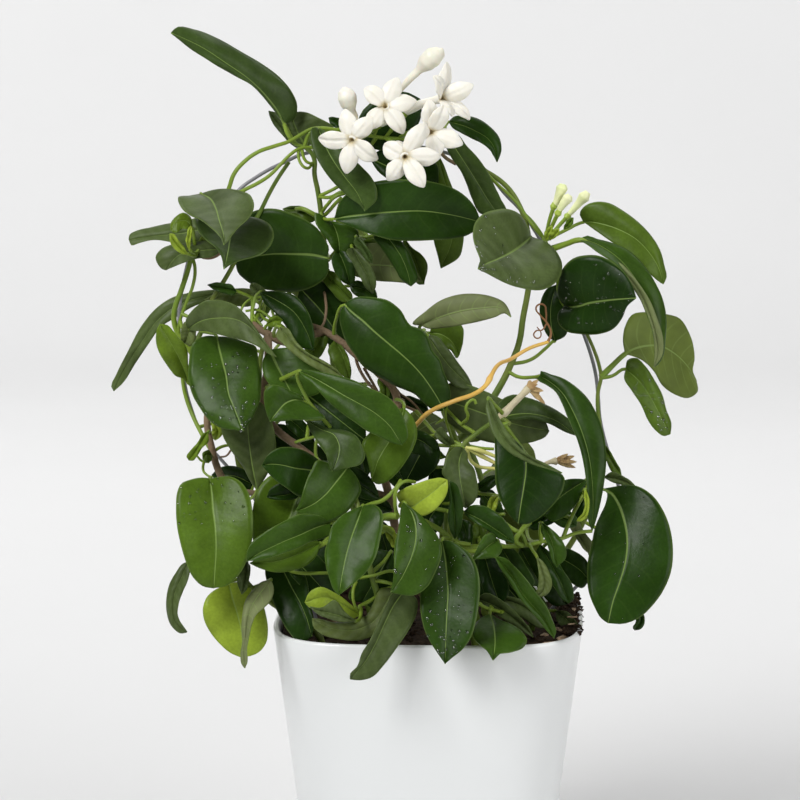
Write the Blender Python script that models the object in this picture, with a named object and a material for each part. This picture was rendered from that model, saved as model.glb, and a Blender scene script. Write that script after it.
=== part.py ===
"""A potted Madagascar jasmine: a twining evergreen on a wire hoop in a white square planter.

Metres, +Z up. The origin is the middle of the planter's flat base, and the plant's face looks along -Y.
"""
import math

import bpy
import bmesh
from mathutils import Vector

MM = 0.001

# The planter: a plain tapering pot whose plan is a square with very round corners.
POT_HEIGHT = 0.165
POT_RIM_HALF = 0.0848
POT_BASE_HALF = 0.0640
POT_WALL = 0.0030
POT_FLOOR = 0.0045
POT_POWER = 4.0
POT_SEGMENTS = 36
POT_YAW = math.radians(-2.5)

# The soil fills the planter to just under its rim, with a mound in the right front corner.
SOIL_TOP = 0.1535
SOIL_GAP = 0.0003
MOUND_AT = (0.062, -0.050)
MOUND_HEIGHT = 0.0075
ROOT_DEPTH = 0.022
HOLE_PLAY = 0.0004

# The hoop is one bent rod of coated wire.
WIRE_RADIUS = 0.0014

# Leaves are leathery: one thickness serves them all.
LEAF_THICK = 0.0009
PETAL_THICK = 0.0010
PETIOLE_RADIUS = 0.0010
SHORTEST_STALK = 0.005

# A flower, bud or runner is its own piece: it sits this far off the end of the stalk that carries it.
SEAT_GAP = 0.0003

# How the front view is seen: a spot in it is a column, a row and a depth. Columns and rows count
# pixels of an 800-pixel square picture, and depth is millimetres behind the hoop's plane.
VIEW_DISTANCE = 1.65
VIEW_PITCH = math.radians(8.1)
VIEW_PIXEL = 0.00055
VIEW_CENTRE = 400.0
VIEW_AIM = Vector((-0.0165, 0.0, 0.284))

LOOK = Vector((0.0, math.cos(VIEW_PITCH), -math.sin(VIEW_PITCH)))
UP = Vector((0.0, math.sin(VIEW_PITCH), math.cos(VIEW_PITCH)))
EYE = VIEW_AIM - LOOK * VIEW_DISTANCE


def spot(column, row, depth):
    """The point of space seen at that column and row, at that depth in millimetres."""
    per_pixel = VIEW_PIXEL / VIEW_DISTANCE
    ray = LOOK + Vector((1, 0, 0)) * ((column - VIEW_CENTRE) * per_pixel)
    ray += UP * ((VIEW_CENTRE - row) * per_pixel)
    return EYE + ray * ((depth * MM - EYE.y) / ray.y)


# Outlines: (share of the length, share of the half width).
OVAL = ((0.0, 0.12), (0.13, 0.70), (0.42, 1.0), (0.78, 0.76), (1.0, 0.05))
SMALL_OVAL = ((0.0, 0.14), (0.20, 0.84), (0.52, 1.0), (0.84, 0.62), (1.0, 0.06))
STRAP = ((0.0, 0.16), (0.28, 0.90), (0.76, 0.86), (1.0, 0.10))
PETAL = ((0.0, 0.34), (0.55, 1.0), (1.0, 0.34))

# Each shoot: where it stands in the soil (x, y in millimetres, or None where it grows from another stem of
# the same shoot), the radius at its foot and tip in millimetres, then its course as spots.
# Each leaf: heel spot, tip spot, width, sideways bow, arch towards the eye, roll, fold, outline.
SHOOTS = {
    "vine_left": {
        "stems": [
            ((-52, -6), 2.6, 1.1, [
                (280, 560, -12), (246, 510, -18), (222, 478, -22), (211, 445, -22), (207, 421, -20),
                (196, 400, -14), (186, 380, -11), (179, 345, -8), (176, 325, -8), (175, 308, -8),
                (181, 288, -8), (190, 258, -8), (203, 238, -10), (222, 205, -14), (228, 190, -16),
                (235, 172, -16), (250, 157, -16), (270, 147, -17), (288, 141, -18), (297, 138, -19)]),
            (None, 1.5, 1.1, [
                (186, 380, -11), (196, 350, -4), (206, 320, -2), (212, 300, -2), (219, 289, -2),
                (233, 265, -2), (246, 235, -2), (259, 209, -2), (268, 190, -3), (278, 172, -4), (287, 160, -5)]),
            (None, 1.2, 0.9, [
                (228, 190, -16), (240, 192, -14), (262, 178, -11), (278, 166, -11), (292, 157, -12)]),
        ],
        "leaves": [
            ((200, 195, -6), (224, 245, -62), 43, 1, 5, 0, 12, OVAL),
            ((222, 223, -3), (226, 270, -50), 42, 0, 5, 0, 10, OVAL),
            ((200, 226, -6), (129, 243, -2), 15, 3, 4, -30, 14, OVAL),
            ((191, 257, -12), (166, 270, -17), 13, 1, 2, -25, 14, SMALL_OVAL),
            ((250, 295, 18), (115, 392, 19), 24, 16, 4, -28, 16, OVAL),
            ((190, 338, -24), (276, 357, -60), 26, -14, 5, 14, 14, OVAL),
            ((217, 336, -24), (243, 431, -60), 40, 1, 5, 0, 8, OVAL),
            ((188, 383, -18), (158, 323, -30), 19, 2, 2, 12, 14, SMALL_OVAL),
            ((250, 400, -32), (256, 490, -42), 28, 0, 3, 0, 8, OVAL),
        ],
    },
    "vine_low_left": {
        "stems": [
            ((-60, -34), 2.2, 1.2, [
                (268, 600, -42), (246, 560, -46), (226, 520, -46), (214, 490, -46), (210, 478, -48)]),
        ],
        "leaves": [
            ((210, 478, -56), (216, 589, -80), 41, -1, 6, 0, 8, OVAL),
            ((187, 560, -40), (186, 632, -46), 13, 6, 2, 20, 12, STRAP),
            ((229, 584, -50), (238, 657, -64), 35, 0, 3, 0, 8, OVAL),
            ((270, 580, -62), (245, 668, -86), 14, 2, 3, 25, 12, STRAP),
        ],
    },
    "vine_top": {
        "stems": [
            ((-14, 20), 2.4, 1.2, [
                (366, 560, 10), (350, 480, 12), (338, 400, 12), (330, 330, 12), (326, 270, 8),
                (321, 212, 2), (318, 190, 0), (313, 158, -4), (304, 147, -5), (296, 144, -5)]),
            (None, 1.2, 1.0, [
                (304, 147, -5), (312, 131, -6), (338, 130, -6), (362, 134, -1), (385, 138, 1),
                (415, 137, 2), (446, 124, 0)]),
            (None, 1.2, 0.9, [
                (326, 262, 7), (345, 244, 6), (372, 236, 3), (400, 232, 3), (428, 224, 4)]),
            (None, 0.9, 1.6, [(345, 131, -4), (352, 128, -8), (358, 126, -14)]),
            (None, 0.9, 1.6, [(362, 134, -1), (374, 127, -5), (380, 124, -7)]),
            (None, 0.9, 1.6, [(385, 138, 1), (392, 142, -10), (397, 144, -22)]),
            (None, 0.9, 1.6, [(400, 137, 2), (406, 134, -4), (412, 132, -11)]),
            (None, 0.9, 1.6, [(385, 138, 1), (398, 122, -2), (406, 113, -5)]),
            (None, 0.8, 1.3, [(374, 136, 0), (384, 112, -2), (396, 95, -9)]),
            (None, 0.8, 1.3, [(338, 130, -6), (347, 124, -11), (354, 119, -15)]),
        ],
        "leaves": [
            ((284, 124, -6), (169, 31, -22), 33, 6, 4, -52, 20, OVAL),
            ((306, 142, 4), (330, 111, 12), 18, 0, 2, 20, 12, SMALL_OVAL),
            ((318, 128, -10), (366, 212, -27), 23, -1, 4, 0, 12, OVAL),
            ((360, 141, 6), (424, 95, 12), 30, 0, 3, 0, 8, OVAL),
            ((452, 122, 4), (498, 161, -6), 22, -3, 5, 30, 14, OVAL),
            ((448, 131, -10), (508, 227, -12), 18, -2, 3, 15, 12, STRAP),
            ((440, 146, 8), (441, 268, 12), 19, -1, -3, 0, -10, STRAP),
            ((336, 218, -16), (483, 222, -20), 36, -4, 6, 14, 8, OVAL),
            ((329, 220, -2), (339, 257, -4), 25, 0, 1, 0, -16, SMALL_OVAL),
            ((327, 258, -8), (236, 262, 14), 40, 0, 4, -6, 8, OVAL),
            ((320, 214, 10), (250, 215, 24), 22, 0, 3, -45, 12, SMALL_OVAL),
            ((336, 262, 0), (425, 283, -8), 15, 0, 3, 10, -8, STRAP),
            ((388, 230, 0), (411, 287, -12), 15, -1, 2, 0, 14, STRAP),
            ((404, 236, 8), (424, 284, 10), 20, -3, 2, 0, -8, SMALL_OVAL),
        ],
    },
    "vine_right": {
        "stems": [
            ((26, 16), 2.4, 1.2, [
                (452, 560, 4), (447, 500, -6), (454, 446, -16), (465, 434, -16), (483, 417, -15), (492, 400, -13),
                (504, 379, -12), (511, 364, -12), (519, 343, -11), (523, 318, -10), (528, 291, -9),
                (531, 265, -8), (529, 240, -6), (524, 217, -5), (519, 205, -5), (512, 193, -5),
                (503, 183, -5), (492, 175, -5), (483, 170, -5)]),
            (None, 1.2, 1.0, [(524, 214, -5), (533, 223, -5), (545, 241, -6), (552, 256, -8), (558, 281, -12)]),
            (None, 1.1, 0.9, [(511, 364, -12), (530, 360, -9), (546, 348, -6), (553, 341, -5)]),
            (None, 1.1, 1.0, [(507, 371, -12), (519, 377, -17), (536, 377, -24)]),
            (None, 0.8, 1.2, [(545, 241, -6), (549, 222, -8), (553, 209, -9)]),
            (None, 0.8, 1.2, [(545, 241, -6), (552, 226, -11), (557, 215.4, -14)]),
            (None, 0.8, 1.2, [(545, 241, -6), (556, 229, 2), (566, 218, 8)]),
        ],
        "leaves": [
            ((530, 238, -8), (478, 269, -64), 51, 2, 6, 0, 12, OVAL),
            ((584, 223, -2), (664, 284, -22), 21, -9, 4, 12, 12, OVAL),
            ((580, 242, -20), (653, 367, -40), 30, -14, 4, 28, 30, OVAL),
            ((566, 302, -18), (636, 298, -50), 43, -2, 5, 0, 10, OVAL),
            ((554, 340, -5), (563, 284, -3), 22, 0, 2, 0, 8, SMALL_OVAL),
            ((541, 377, -27), (592, 531, -56), 20, -13, 5, -12, 14, OVAL),
        ],
    },
    "vine_far_right": {
        "stems": [
            ((57, 0), 2.4, 1.1, [
                (548, 575, -4), (580, 540, -8), (600, 510, -8), (606, 480, -8), (603, 450, -8), (600, 430, -7),
                (598, 410, -6), (598, 392, -6), (601, 377, -6), (597, 365, -6), (590, 350, -5), (583, 334, -4)]),
        ],
        "leaves": [
            ((629, 356, 2), (691, 362, 36), 46, -3, 3, 0, -10, OVAL),
            ((627, 367, -8), (671, 435, -16), 18, -2, 3, 0, 16, OVAL),
            ((605, 489, -22), (604, 624, -62), 44, -12, 6, 0, 8, OVAL),
            ((606, 474, 0), (633, 486, -10), 9, 0, 1, 0, 10, SMALL_OVAL),
        ],
    },
    "vine_centre": {
        "stems": [
            ((4, -4), 2.6, 1.4, [
                (404, 560, -22), (388, 500, -24), (378, 450, -26), (372, 410, -26), (355, 357, -24),
                (340, 343, -22), (324, 330, -19), (302, 318, -14), (280, 300, -6)]),
            (None, 1.6, 1.2, [(324, 330, -19), (300, 338, -26), (281, 342, -28), (268, 335, -26), (254, 326, -24)]),
            (None, 1.3, 1.0, [(355, 357, -24), (390, 345, -14), (424, 330, -12)]),
            (None, 1.3, 1.0, [(281, 342, -28), (273, 356, -40), (268, 372, -50), (276, 384, -58)]),
            (None, 1.3, 1.0, [(378, 450, -26), (345, 440, -40), (322, 418, -54)]),
        ],
        "leaves": [
            ((345, 305, -34), (443, 408, -44), 35, 1, 6, 0, 8, OVAL),
            ((420, 324, -22), (511, 317, -38), 17, -8, 3, 22, 14, OVAL),
            ((430, 330, -4), (460, 362, -6), 22, -2, 1, 0, -8, SMALL_OVAL),
            ((430, 342, -22), (472, 386, -28), 11, 0, 2, 10, 12, SMALL_OVAL),
            ((299, 371, -62), (402, 445, -84), 25, 1, 4, 10, 10, OVAL),
            ((403, 408, -54), (372, 483, -68), 26, -4, 4, 0, 10, OVAL),
            ((320, 410, -64), (332, 471, -86), 27, -7, 4, 0, 10, OVAL),
            ((297, 397, -70), (270, 422, -80), 24, 0, 3, 0, 12, SMALL_OVAL),
            ((283, 328, -46), (343, 377, -58), 10, 1, 3, 25, 16, STRAP),
            ((262, 294, -14), (308, 350, -30), 25, 0, 2, 0, 8, SMALL_OVAL),
            ((270, 353, -38), (292, 388, -50), 18, 0, 2, 0, 10, SMALL_OVAL),
            ((304, 392, -38), (366, 441, -52), 26, 0, 2, 0, 8, SMALL_OVAL),
            ((328, 336, -20), (350, 381, -24), 12, 0, 2, 0, 10, SMALL_OVAL),
        ],
    },
    "vine_low_centre": {
        "stems": [
            ((-20, -46), 2.2, 1.2, [
                (378, 596, -62), (368, 560, -70), (362, 525, -74), (356, 500, -70), (344, 480, -60), (330, 474, -52)]),
            (None, 1.3, 1.0, [(368, 560, -70), (345, 540, -66), (322, 545, -58), (300, 560, -50), (284, 568, -44)]),
            (None, 1.2, 1.0, [(378, 596, -62), (368, 602, -66), (360, 606, -68)]),
        ],
        "leaves": [
            ((332, 522, -76), (246, 562, -90), 18, 2, 4, -15, 12, OVAL),
            ((318, 545, -60), (254, 562, -70), 17, 0, 2, -20, 10, SMALL_OVAL),
            ((344, 468, -62), (297, 511, -80), 29, 2, 4, -8, 10, OVAL),
            ((364, 505, -84), (338, 596, -106), 28, 1, 5, 0, 10, OVAL),
            ((322, 469, -56), (262, 464, -66), 27, 2, 3, -10, 10, OVAL),
            ((304, 494, -44), (251, 541, -56), 26, 0, 3, -10, 10, OVAL),
            ((279, 570, -44), (311, 636, -68), 22, 0, 2, 0, 8, OVAL),
            ((358, 608, -68), (305, 603, -80), 15, 0, 4, -10, 12, SMALL_OVAL),
            ((388, 612, -64), (314, 630, -72), 12, 0, 2, -20, 10, STRAP),
            ((403, 592, -82), (350, 679, -110), 20, 1, 5, 0, 12, STRAP),
        ],
    },
    "vine_low_right": {
        "stems": [
            ((24, -44), 2.2, 1.2, [
                (452, 590, -58), (450, 550, -62), (452, 512, -60), (458, 475, -54), (463, 446, -48),
                (476, 434, -46), (490, 424, -48), (500, 418, -50), (510, 424, -54)]),
            (None, 1.3, 1.0, [(450, 550, -62), (480, 546, -58), (520, 546, -56), (545, 541, -54), (563, 538, -52),
                              (576, 533, -50), (592, 531, -48)]),
            (None, 1.2, 1.0, [(563, 538, -52), (568, 525, -48), (575, 510, -46), (584, 494, -44)]),
            (None, 1.2, 1.0, [(452, 512, -60), (430, 508, -68), (412, 508, -74), (400, 506, -78)]),
            (None, 1.2, 1.0, [(450, 550, -62), (462, 584, -58), (482, 606, -56), (500, 612, -56)]),
            (None, 1.0, 0.9, [(500, 418, -50), (516, 440, -46), (532, 460, -40), (542, 465, -36)]),
            (None, 1.2, 1.3, [(500, 418, -50), (504.2, 415, -50.3)]),
        ],
        "leaves": [
            ((404, 500, -84), (391, 592, -106), 26, -9, 5, 0, 10, OVAL),
            ((443, 543, -78), (446, 665, -106), 30, -1, 6, 0, 8, OVAL),
            ((490, 612, -62), (494, 660, -102), 29, 0, 9, 0, 12, OVAL),
            ((484, 600, -46), (532, 634, -56), 14, 0, 2, 10, 10, STRAP),
            ((496, 557, -74), (553, 634, -78), 14, 1, 4, 10, 14, STRAP),
            ((542, 523, -66), (556, 567, -76), 11, -1, 2, 0, 12, SMALL_OVAL),
            ((544, 546, -46), (569, 602, -54), 10, 0, 2, 0, 10, STRAP),
            ((550, 560, -34), (590, 578, -40), 22, 0, 2, 10, 8, SMALL_OVAL),
            ((514, 430, -60), (520, 524, -80), 36, 0, 5, 0, 8, OVAL),
            ((486, 410, -60), (562, 470, -84), 9, 0, 2, 25, 16, STRAP),
            ((585, 483, -38), (543, 512, -48), 15, 0, 3, -10, 12, SMALL_OVAL),
            ((462, 404, -26), (547, 430, -30), 24, 0, 3, 6, 8, OVAL),
            ((508, 415, -42), (566, 432, -23), 13, -3, 2, 20, 12, STRAP),
            ((407, 508, -76), (447, 480, -86), 17, 1, 3, 0, 10, OVAL),
            ((463, 449, -60), (466, 508, -72), 20, 0, 4, 0, -18, SMALL_OVAL),
            ((468, 514, -74), (513, 541, -84), 12, -1, 3, 12, 12, STRAP),
            ((430, 436, -42), (405, 483, -54), 22, 0, 2, 0, 8, SMALL_OVAL),
        ],
    },
}

# The hoop: foot in the soil on the left, course, foot in the soil on the right.
HOOP_FEET = ((-64, 20), (66, 18))
HOOP = [
    (302, 585, 14), (272, 530, 9), (250, 492, 6), (226, 465, 5), (205, 440, 4), (190, 405, 4), (184, 380, 4),
    (180, 348, 4), (179, 318, 4), (181, 295, 4), (186, 270, 4), (190, 256, 4), (201, 238, 4), (220, 213, 4),
    (241, 188, 4), (255, 178, 5), (270, 169, 6), (285, 162, 7), (300, 155, 10), (313, 152, 14), (345, 148, 17),
    (378, 145, 18), (412, 146, 17), (440, 151, 14), (466, 160, 10), (488, 172, 6), (497, 184, 4), (507, 196, 4),
    (517, 206, 4), (525, 216, 4), (538, 236, 4), (552, 262, 4), (568, 298, 5), (584, 335, 6), (595, 371, 6),
    (598, 395, 6), (600, 419, 6), (607, 448, 6), (616, 475, 7), (619, 500, 8), (612, 530, 9), (596, 560, 11),
    (578, 585, 13)]

# Flowers: the stem of vine_top that carries it, throat spot, then the five lobe tips.
FLOWERS = {
    "flower_1": (4, (352, 140, -36), (
        (344, 109, -34), (318, 139, -34), (346, 174, -36), (377, 160, -39), (372, 117, -38))),
    "flower_2": (5, (385, 106, -28), (
        (398, 77, -24), (365, 87, -26), (417, 100, -26), (404, 133, -31), (367, 129, -31))),
    "flower_3": (6, (405, 157, -50), (
        (424, 123, -48), (383, 145, -46), (388, 181, -50), (424, 187, -54), (441, 157, -50))),
    "flower_4": (7, (431, 132, -35), (
        (430, 99, -33), (445, 106, -39), (463, 144, -36), (437, 158, -38), (418, 130, -41))),
    "flower_5": (8, (441, 99, -19), (
        (449, 62, -18), (436, 76, -27), (473, 85, -24), (471, 118, -20), (454, 114, -28))),
}

# Closed buds: the shoot and the stem of it that carries the bud, the foot's radius in millimetres, then
# spots down the middle, each with its radius.
BUDS = {
    "flower_bud_large": ("vine_top", 9, 1.4, [
        (408, 81, -13, 1.9), (419, 70, -15, 2.3), (426, 63, -16, 4.9), (433, 57, -17, 5.4), (440, 52, -18, 3.6),
        (443, 49, -18.5, 0.8)]),
    "flower_bud_small": ("vine_top", 10, 1.4, [
        (352, 111, -18, 2.2), (349, 104, -19, 4.6), (347, 97, -20, 5.2), (345, 91, -20, 3.8), (344, 87, -20, 0.9)]),
    "side_bud_1": ("vine_right", 5, 1.2, [(555, 201, -9.5, 1.6), (560, 193, -10, 2.7), (563, 187, -10, 0.7)]),
    "side_bud_2": ("vine_right", 6, 1.2, [(560, 208, -15, 1.7), (565, 202, -15, 2.6), (568, 197, -15, 0.7)]),
    "side_bud_3": ("vine_right", 7, 1.2, [(573, 209, 9, 1.7), (580, 200, 9, 2.9), (585, 194, 9, 0.7)]),
}

# Withered flowers: the dry tube as spots with radii, then the tips of its shrunken lobes.
DRIED = {
    "dried_flower_1": (
        [(505.0, 414.2, -50.4, 1.5), (515, 405, -51, 2.1), (527, 393, -52, 2.6)],
        [(538, 381, -52), (543, 391, -54), (538, 398, -50)]),
    "dried_flower_2": (
        [(543.5, 464.6, -35.6, 1.2), (550, 461, -35, 1.6), (557, 459, -34, 2.4)],
        [(575, 454, -30), (576, 465, -30)]),
}

# The old yellow runner, which ends in a thin curled tendril, and the young yellow shoots beside it.
RUNNER = [
    (381.9, 448.3, -27.4, 1.3), (402, 440, -34, 1.6), (417, 424, -40, 1.7), (431, 411, -54, 1.7), (454, 400, -62, 1.7),
    (479, 390, -60, 1.6), (488, 380, -56, 1.6), (496, 366, -48, 1.5), (511, 359, -38, 1.4), (530, 348, -30, 1.3),
    (548, 342, -26, 1.1), (551, 333, -24, 0.9), (546, 323, -22, 0.8), (537, 312, -21, 0.7), (538, 305, -21, 0.7),
    (544, 305, -21, 0.7), (547, 320, -19, 0.7)]
YELLOW_SHOOTS = [
    [(466, 447.5, -51.5, 0.9), (478, 450, -54, 1.3), (497, 457, -54, 0.9)],
    [(466, 447.5, -51.5, 0.9), (480, 455, -52, 1.3), (497, 464, -52, 0.9)],
    [(466, 447.5, -51.5, 0.9), (474, 464, -50, 1.0), (497, 469, -50, 0.9)],
]

# Leaves that show only from behind, kept behind the masses of the face.
# Stems as above; leaves: heel spot, tip spot, width, arch.
BACK_SHOOTS = {
    "vine_back_left": {
        "stems": [
            ((-34, 44), 2.3, 1.2, [
                (330, 555, 40), (300, 500, 34), (275, 450, 30), (262, 400, 28), (262, 350, 26), (280, 310, 26),
                (300, 275, 26)]),
            (None, 1.3, 1.0, [(300, 500, 34), (270, 520, 44), (240, 530, 50), (222, 520, 50)]),
        ],
        "leaves": [
            ((292, 276, 28), (244, 240, 32), 26, 5),
            ((302, 268, 34), (322, 306, 56), 26, 5),
            ((250, 350, 34), (214, 410, 46), 32, 6),
            ((268, 396, 32), (328, 412, 56), 24, 5),
            ((264, 424, 32), (254, 484, 48), 26, 5),
            ((288, 468, 36), (334, 496, 60), 28, 5),
            ((300, 500, 38), (268, 536, 64), 26, 5),
            ((230, 520, 50), (200, 486, 56), 26, 5),
            ((238, 538, 56), (222, 586, 76), 30, 5),
            ((310, 540, 44), (280, 586, 64), 28, 5),
            ((340, 552, 52), (352, 622, 124), 32, 15),
        ],
    },
    "vine_back_right": {
        "stems": [
            ((32, 48), 2.3, 1.2, [
                (490, 555, 42), (486, 500, 38), (470, 450, 34), (440, 405, 32), (410, 360, 30), (378, 312, 28),
                (368, 270, 26), (376, 230, 26)]),
            (None, 1.3, 1.0, [(486, 500, 38), (520, 500, 40), (560, 510, 40), (600, 530, 36), (622, 540, 34)]),
        ],
        "leaves": [
            ((388, 228, 30), (442, 214, 40), 28, 5),
            ((366, 234, 30), (340, 200, 42), 26, 5),
            ((382, 316, 32), (398, 366, 50), 28, 6),
            ((420, 376, 34), (442, 350, 50), 22, 5),
            ((446, 416, 36), (400, 446, 58), 24, 5),
            ((460, 432, 36), (508, 412, 52), 28, 5),
            ((490, 470, 44), (536, 462, 74), 30, 5),
            ((484, 520, 44), (440, 548, 56), 28, 6),
            ((516, 506, 50), (522, 566, 74), 26, 5),
            ((624, 532, 34), (642, 492, 44), 28, 5),
            ((604, 540, 42), (620, 596, 58), 30, 5),
            ((482, 548, 62), (462, 622, 128), 32, 15),
        ],
    },
}


def start_clean():
    """Empties the scene."""
    for thing in list(bpy.data.objects):
        bpy.data.objects.remove(thing)


def material(name, colour, roughness, metallic=0.0):
    """A plain Principled material."""
    made = bpy.data.materials.new(name)
    made.use_nodes = True
    shader = made.node_tree.nodes["Principled BSDF"]
    shader.inputs["Base Color"].default_value = (*colour, 1.0)
    shader.inputs["Roughness"].default_value = roughness
    shader.inputs["Metallic"].default_value = metallic
    made.diffuse_color = (*colour, 1.0)
    return made


def object_from(shape, name):
    """A linked object holding that bmesh, with its faces turned out."""
    bmesh.ops.recalc_face_normals(shape, faces=shape.faces)
    mesh = bpy.data.meshes.new(name)
    shape.to_mesh(mesh)
    shape.free()
    made = bpy.data.objects.new(name, mesh)
    bpy.context.scene.collection.objects.link(made)
    return made


def tube(name, points, radii, sides=6):
    """A round stem through the points with a radius at each, closed at both ends."""
    shape = bmesh.new()
    rings = []
    guide = Vector((0.31, -0.87, 0.38))
    for index, point in enumerate(points):
        before = points[max(index - 1, 0)]
        after = points[min(index + 1, len(points) - 1)]
        along = (after - before).normalized()
        across = guide - along * guide.dot(along)
        if across.length < 0.05:
            across = along.orthogonal()
        across.normalize()
        guide = across
        other = along.cross(across)
        ring = []
        for side in range(sides):
            turn = 2 * math.pi * side / sides
            offset = across * math.cos(turn) + other * math.sin(turn)
            ring.append(shape.verts.new(point + offset * radii[index]))
        rings.append(ring)
    for lower, upper in zip(rings, rings[1:]):
        for side in range(sides):
            nxt = (side + 1) % sides
            shape.faces.new((lower[side], lower[nxt], upper[nxt], upper[side]))
    shape.faces.new(list(reversed(rings[0])))
    shape.faces.new(rings[-1])
    bmesh.ops.triangulate(shape, faces=shape.faces)
    return object_from(shape, name)


def tapered(count, first, last):
    """Radii in metres that run evenly from the first to the last, both in millimetres."""
    return [(first + (last - first) * i / max(count - 1, 1)) * MM for i in range(count)]


def midrib(heel, tip, face, bow, arch, share):
    """The point at a share of the way along a bent midrib; bow and arch are in millimetres."""
    span = tip - heel
    along = span.normalized()
    towards = (face - along * face.dot(along)).normalized()
    bend = 4 * share * (1 - share) * MM
    return heel + span * share + along.cross(towards) * (bow * bend) + towards * (arch * bend)


def blade(name, heel, tip, face, wide, bow=0.0, arch=0.0, roll=0.0, fold=0.0, outline=OVAL, thick=LEAF_THICK,
          root=None):
    """A leaf or lobe: a thin plate in the outline's shape, bent along its midrib and folded at it.

    face points to the side that the upper surface turns to. bow and arch bend the midrib to its right and
    towards the face, in millimetres. roll and fold are in degrees. With a root the plate runs on from its
    heel as a stalk that ends there.
    """
    shape = bmesh.new()
    along = (tip - heel).normalized()
    towards = (face - along * face.dot(along)).normalized()
    right = along.cross(towards)
    angle = math.radians(roll)
    across = right * math.cos(angle) + towards * math.sin(angle)
    lift = math.radians(fold)

    def section(centre, tangent, reach, depth, tilt, sides):
        sideways = (across - tangent * across.dot(tangent)).normalized()
        normal = sideways.cross(tangent)
        rows = ([], [])
        for side in sides:
            flat, rise = side * reach * math.cos(tilt), abs(side) * reach * math.sin(tilt)
            point = centre + sideways * flat + normal * rise
            rows[0].append(shape.verts.new(point + normal * (depth / 2)))
            rows[1].append(shape.verts.new(point - normal * (depth / 2)))
        return rows

    sections = []
    for share, half in outline:
        centre = midrib(heel, tip, face, bow, arch, share)
        tangent = (midrib(heel, tip, face, bow, arch, share + 0.01) - centre).normalized()
        depth = thick
        if root is not None and share == 0.0:
            tangent = (tangent + (heel - root).normalized()).normalized()
            depth = PETIOLE_RADIUS * 1.5
        reach = max(wide * MM / 2 * half, 0.0004)
        sections.append(section(centre, tangent, reach, depth, lift, (-1, 0, 1)))
    for near, far in zip(sections, sections[1:]):
        for sheet in (0, 1):
            (a, b, c), (d, e, f) = near[sheet], far[sheet]
            for corners in ((a, b, e), (a, e, d), (b, c, e), (c, f, e)):
                shape.faces.new(corners)
        for column in (0, 2):
            a, b = near[0][column], far[0][column]
            c, d = far[1][column], near[1][column]
            shape.faces.new((a, b, c))
            shape.faces.new((a, c, d))
    top, bottom = sections[-1]
    for column in (0, 1):
        shape.faces.new((top[column], top[column + 1], bottom[column + 1], bottom[column]))
    top, bottom = sections[0]
    if root is None:
        for column in (0, 1):
            shape.faces.new((top[column], top[column + 1], bottom[column + 1], bottom[column]))
    else:
        stalk = PETIOLE_RADIUS
        start = section(root, (heel - root).normalized(), stalk, stalk * 1.7, 0.0, (-1, 1))
        for sheet, (left, middle, right_end) in ((0, top), (1, bottom)):
            first, second = start[sheet]
            for corners in ((first, second, middle), (first, middle, left), (second, right_end, middle)):
                shape.faces.new(corners)
        for column, corner in ((0, 0), (1, 2)):
            shape.faces.new((start[0][column], top[corner], bottom[corner]))
            shape.faces.new((start[0][column], bottom[corner], start[1][column]))
        shape.faces.new((start[0][0], start[0][1], start[1][1], start[1][0]))
    bmesh.ops.triangulate(shape, faces=shape.faces)
    return object_from(shape, name)


def nearest_on(target, courses):
    """The nearest point on the stems' courses to that point, with its distance."""
    best = None
    for course in courses:
        for first, second in zip(course, course[1:]):
            step = second - first
            share = max(0.0, min(1.0, (target - first).dot(step) / step.length_squared))
            place = first + step * share
            gap = (target - place).length
            if best is None or gap < best[1]:
                best = (place, gap)
    return best


def petiole(name, heel, inside, root):
    """The stalk of a leaf that turns back on itself: from inside the stem to a point inside the blade."""
    into = (inside - heel).normalized()
    middle = (root + heel) / 2 - into * 0.003
    radii = [PETIOLE_RADIUS * 1.1, PETIOLE_RADIUS, PETIOLE_RADIUS]
    return tube(name, [root, middle, inside], radii, sides=4)


def soil_height(x, y):
    """The soil's top over a point of the plan: nearly level, with the mound."""
    far = ((x - MOUND_AT[0]) ** 2 + (y - MOUND_AT[1]) ** 2) / 0.024 ** 2
    ripple = 0.0008 * math.sin(x * 140.0) * math.cos(y * 120.0)
    return SOIL_TOP + MOUND_HEIGHT * math.exp(-far) + ripple


def foot_points(place):
    """The straight foot of a stem: from the bottom of its hole to just above the soil."""
    x, y = place[0] * MM, place[1] * MM
    top = soil_height(x, y)
    return [Vector((x, y, top - ROOT_DEPTH)), Vector((x, y, top + 0.004))]


def stem_courses(stems):
    """Each stem's points in space."""
    courses = []
    for place, _, _, spots in stems:
        points = [spot(*where) for where in spots]
        if place:
            points = foot_points(place) + points
        courses.append(points)
    return courses


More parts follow.
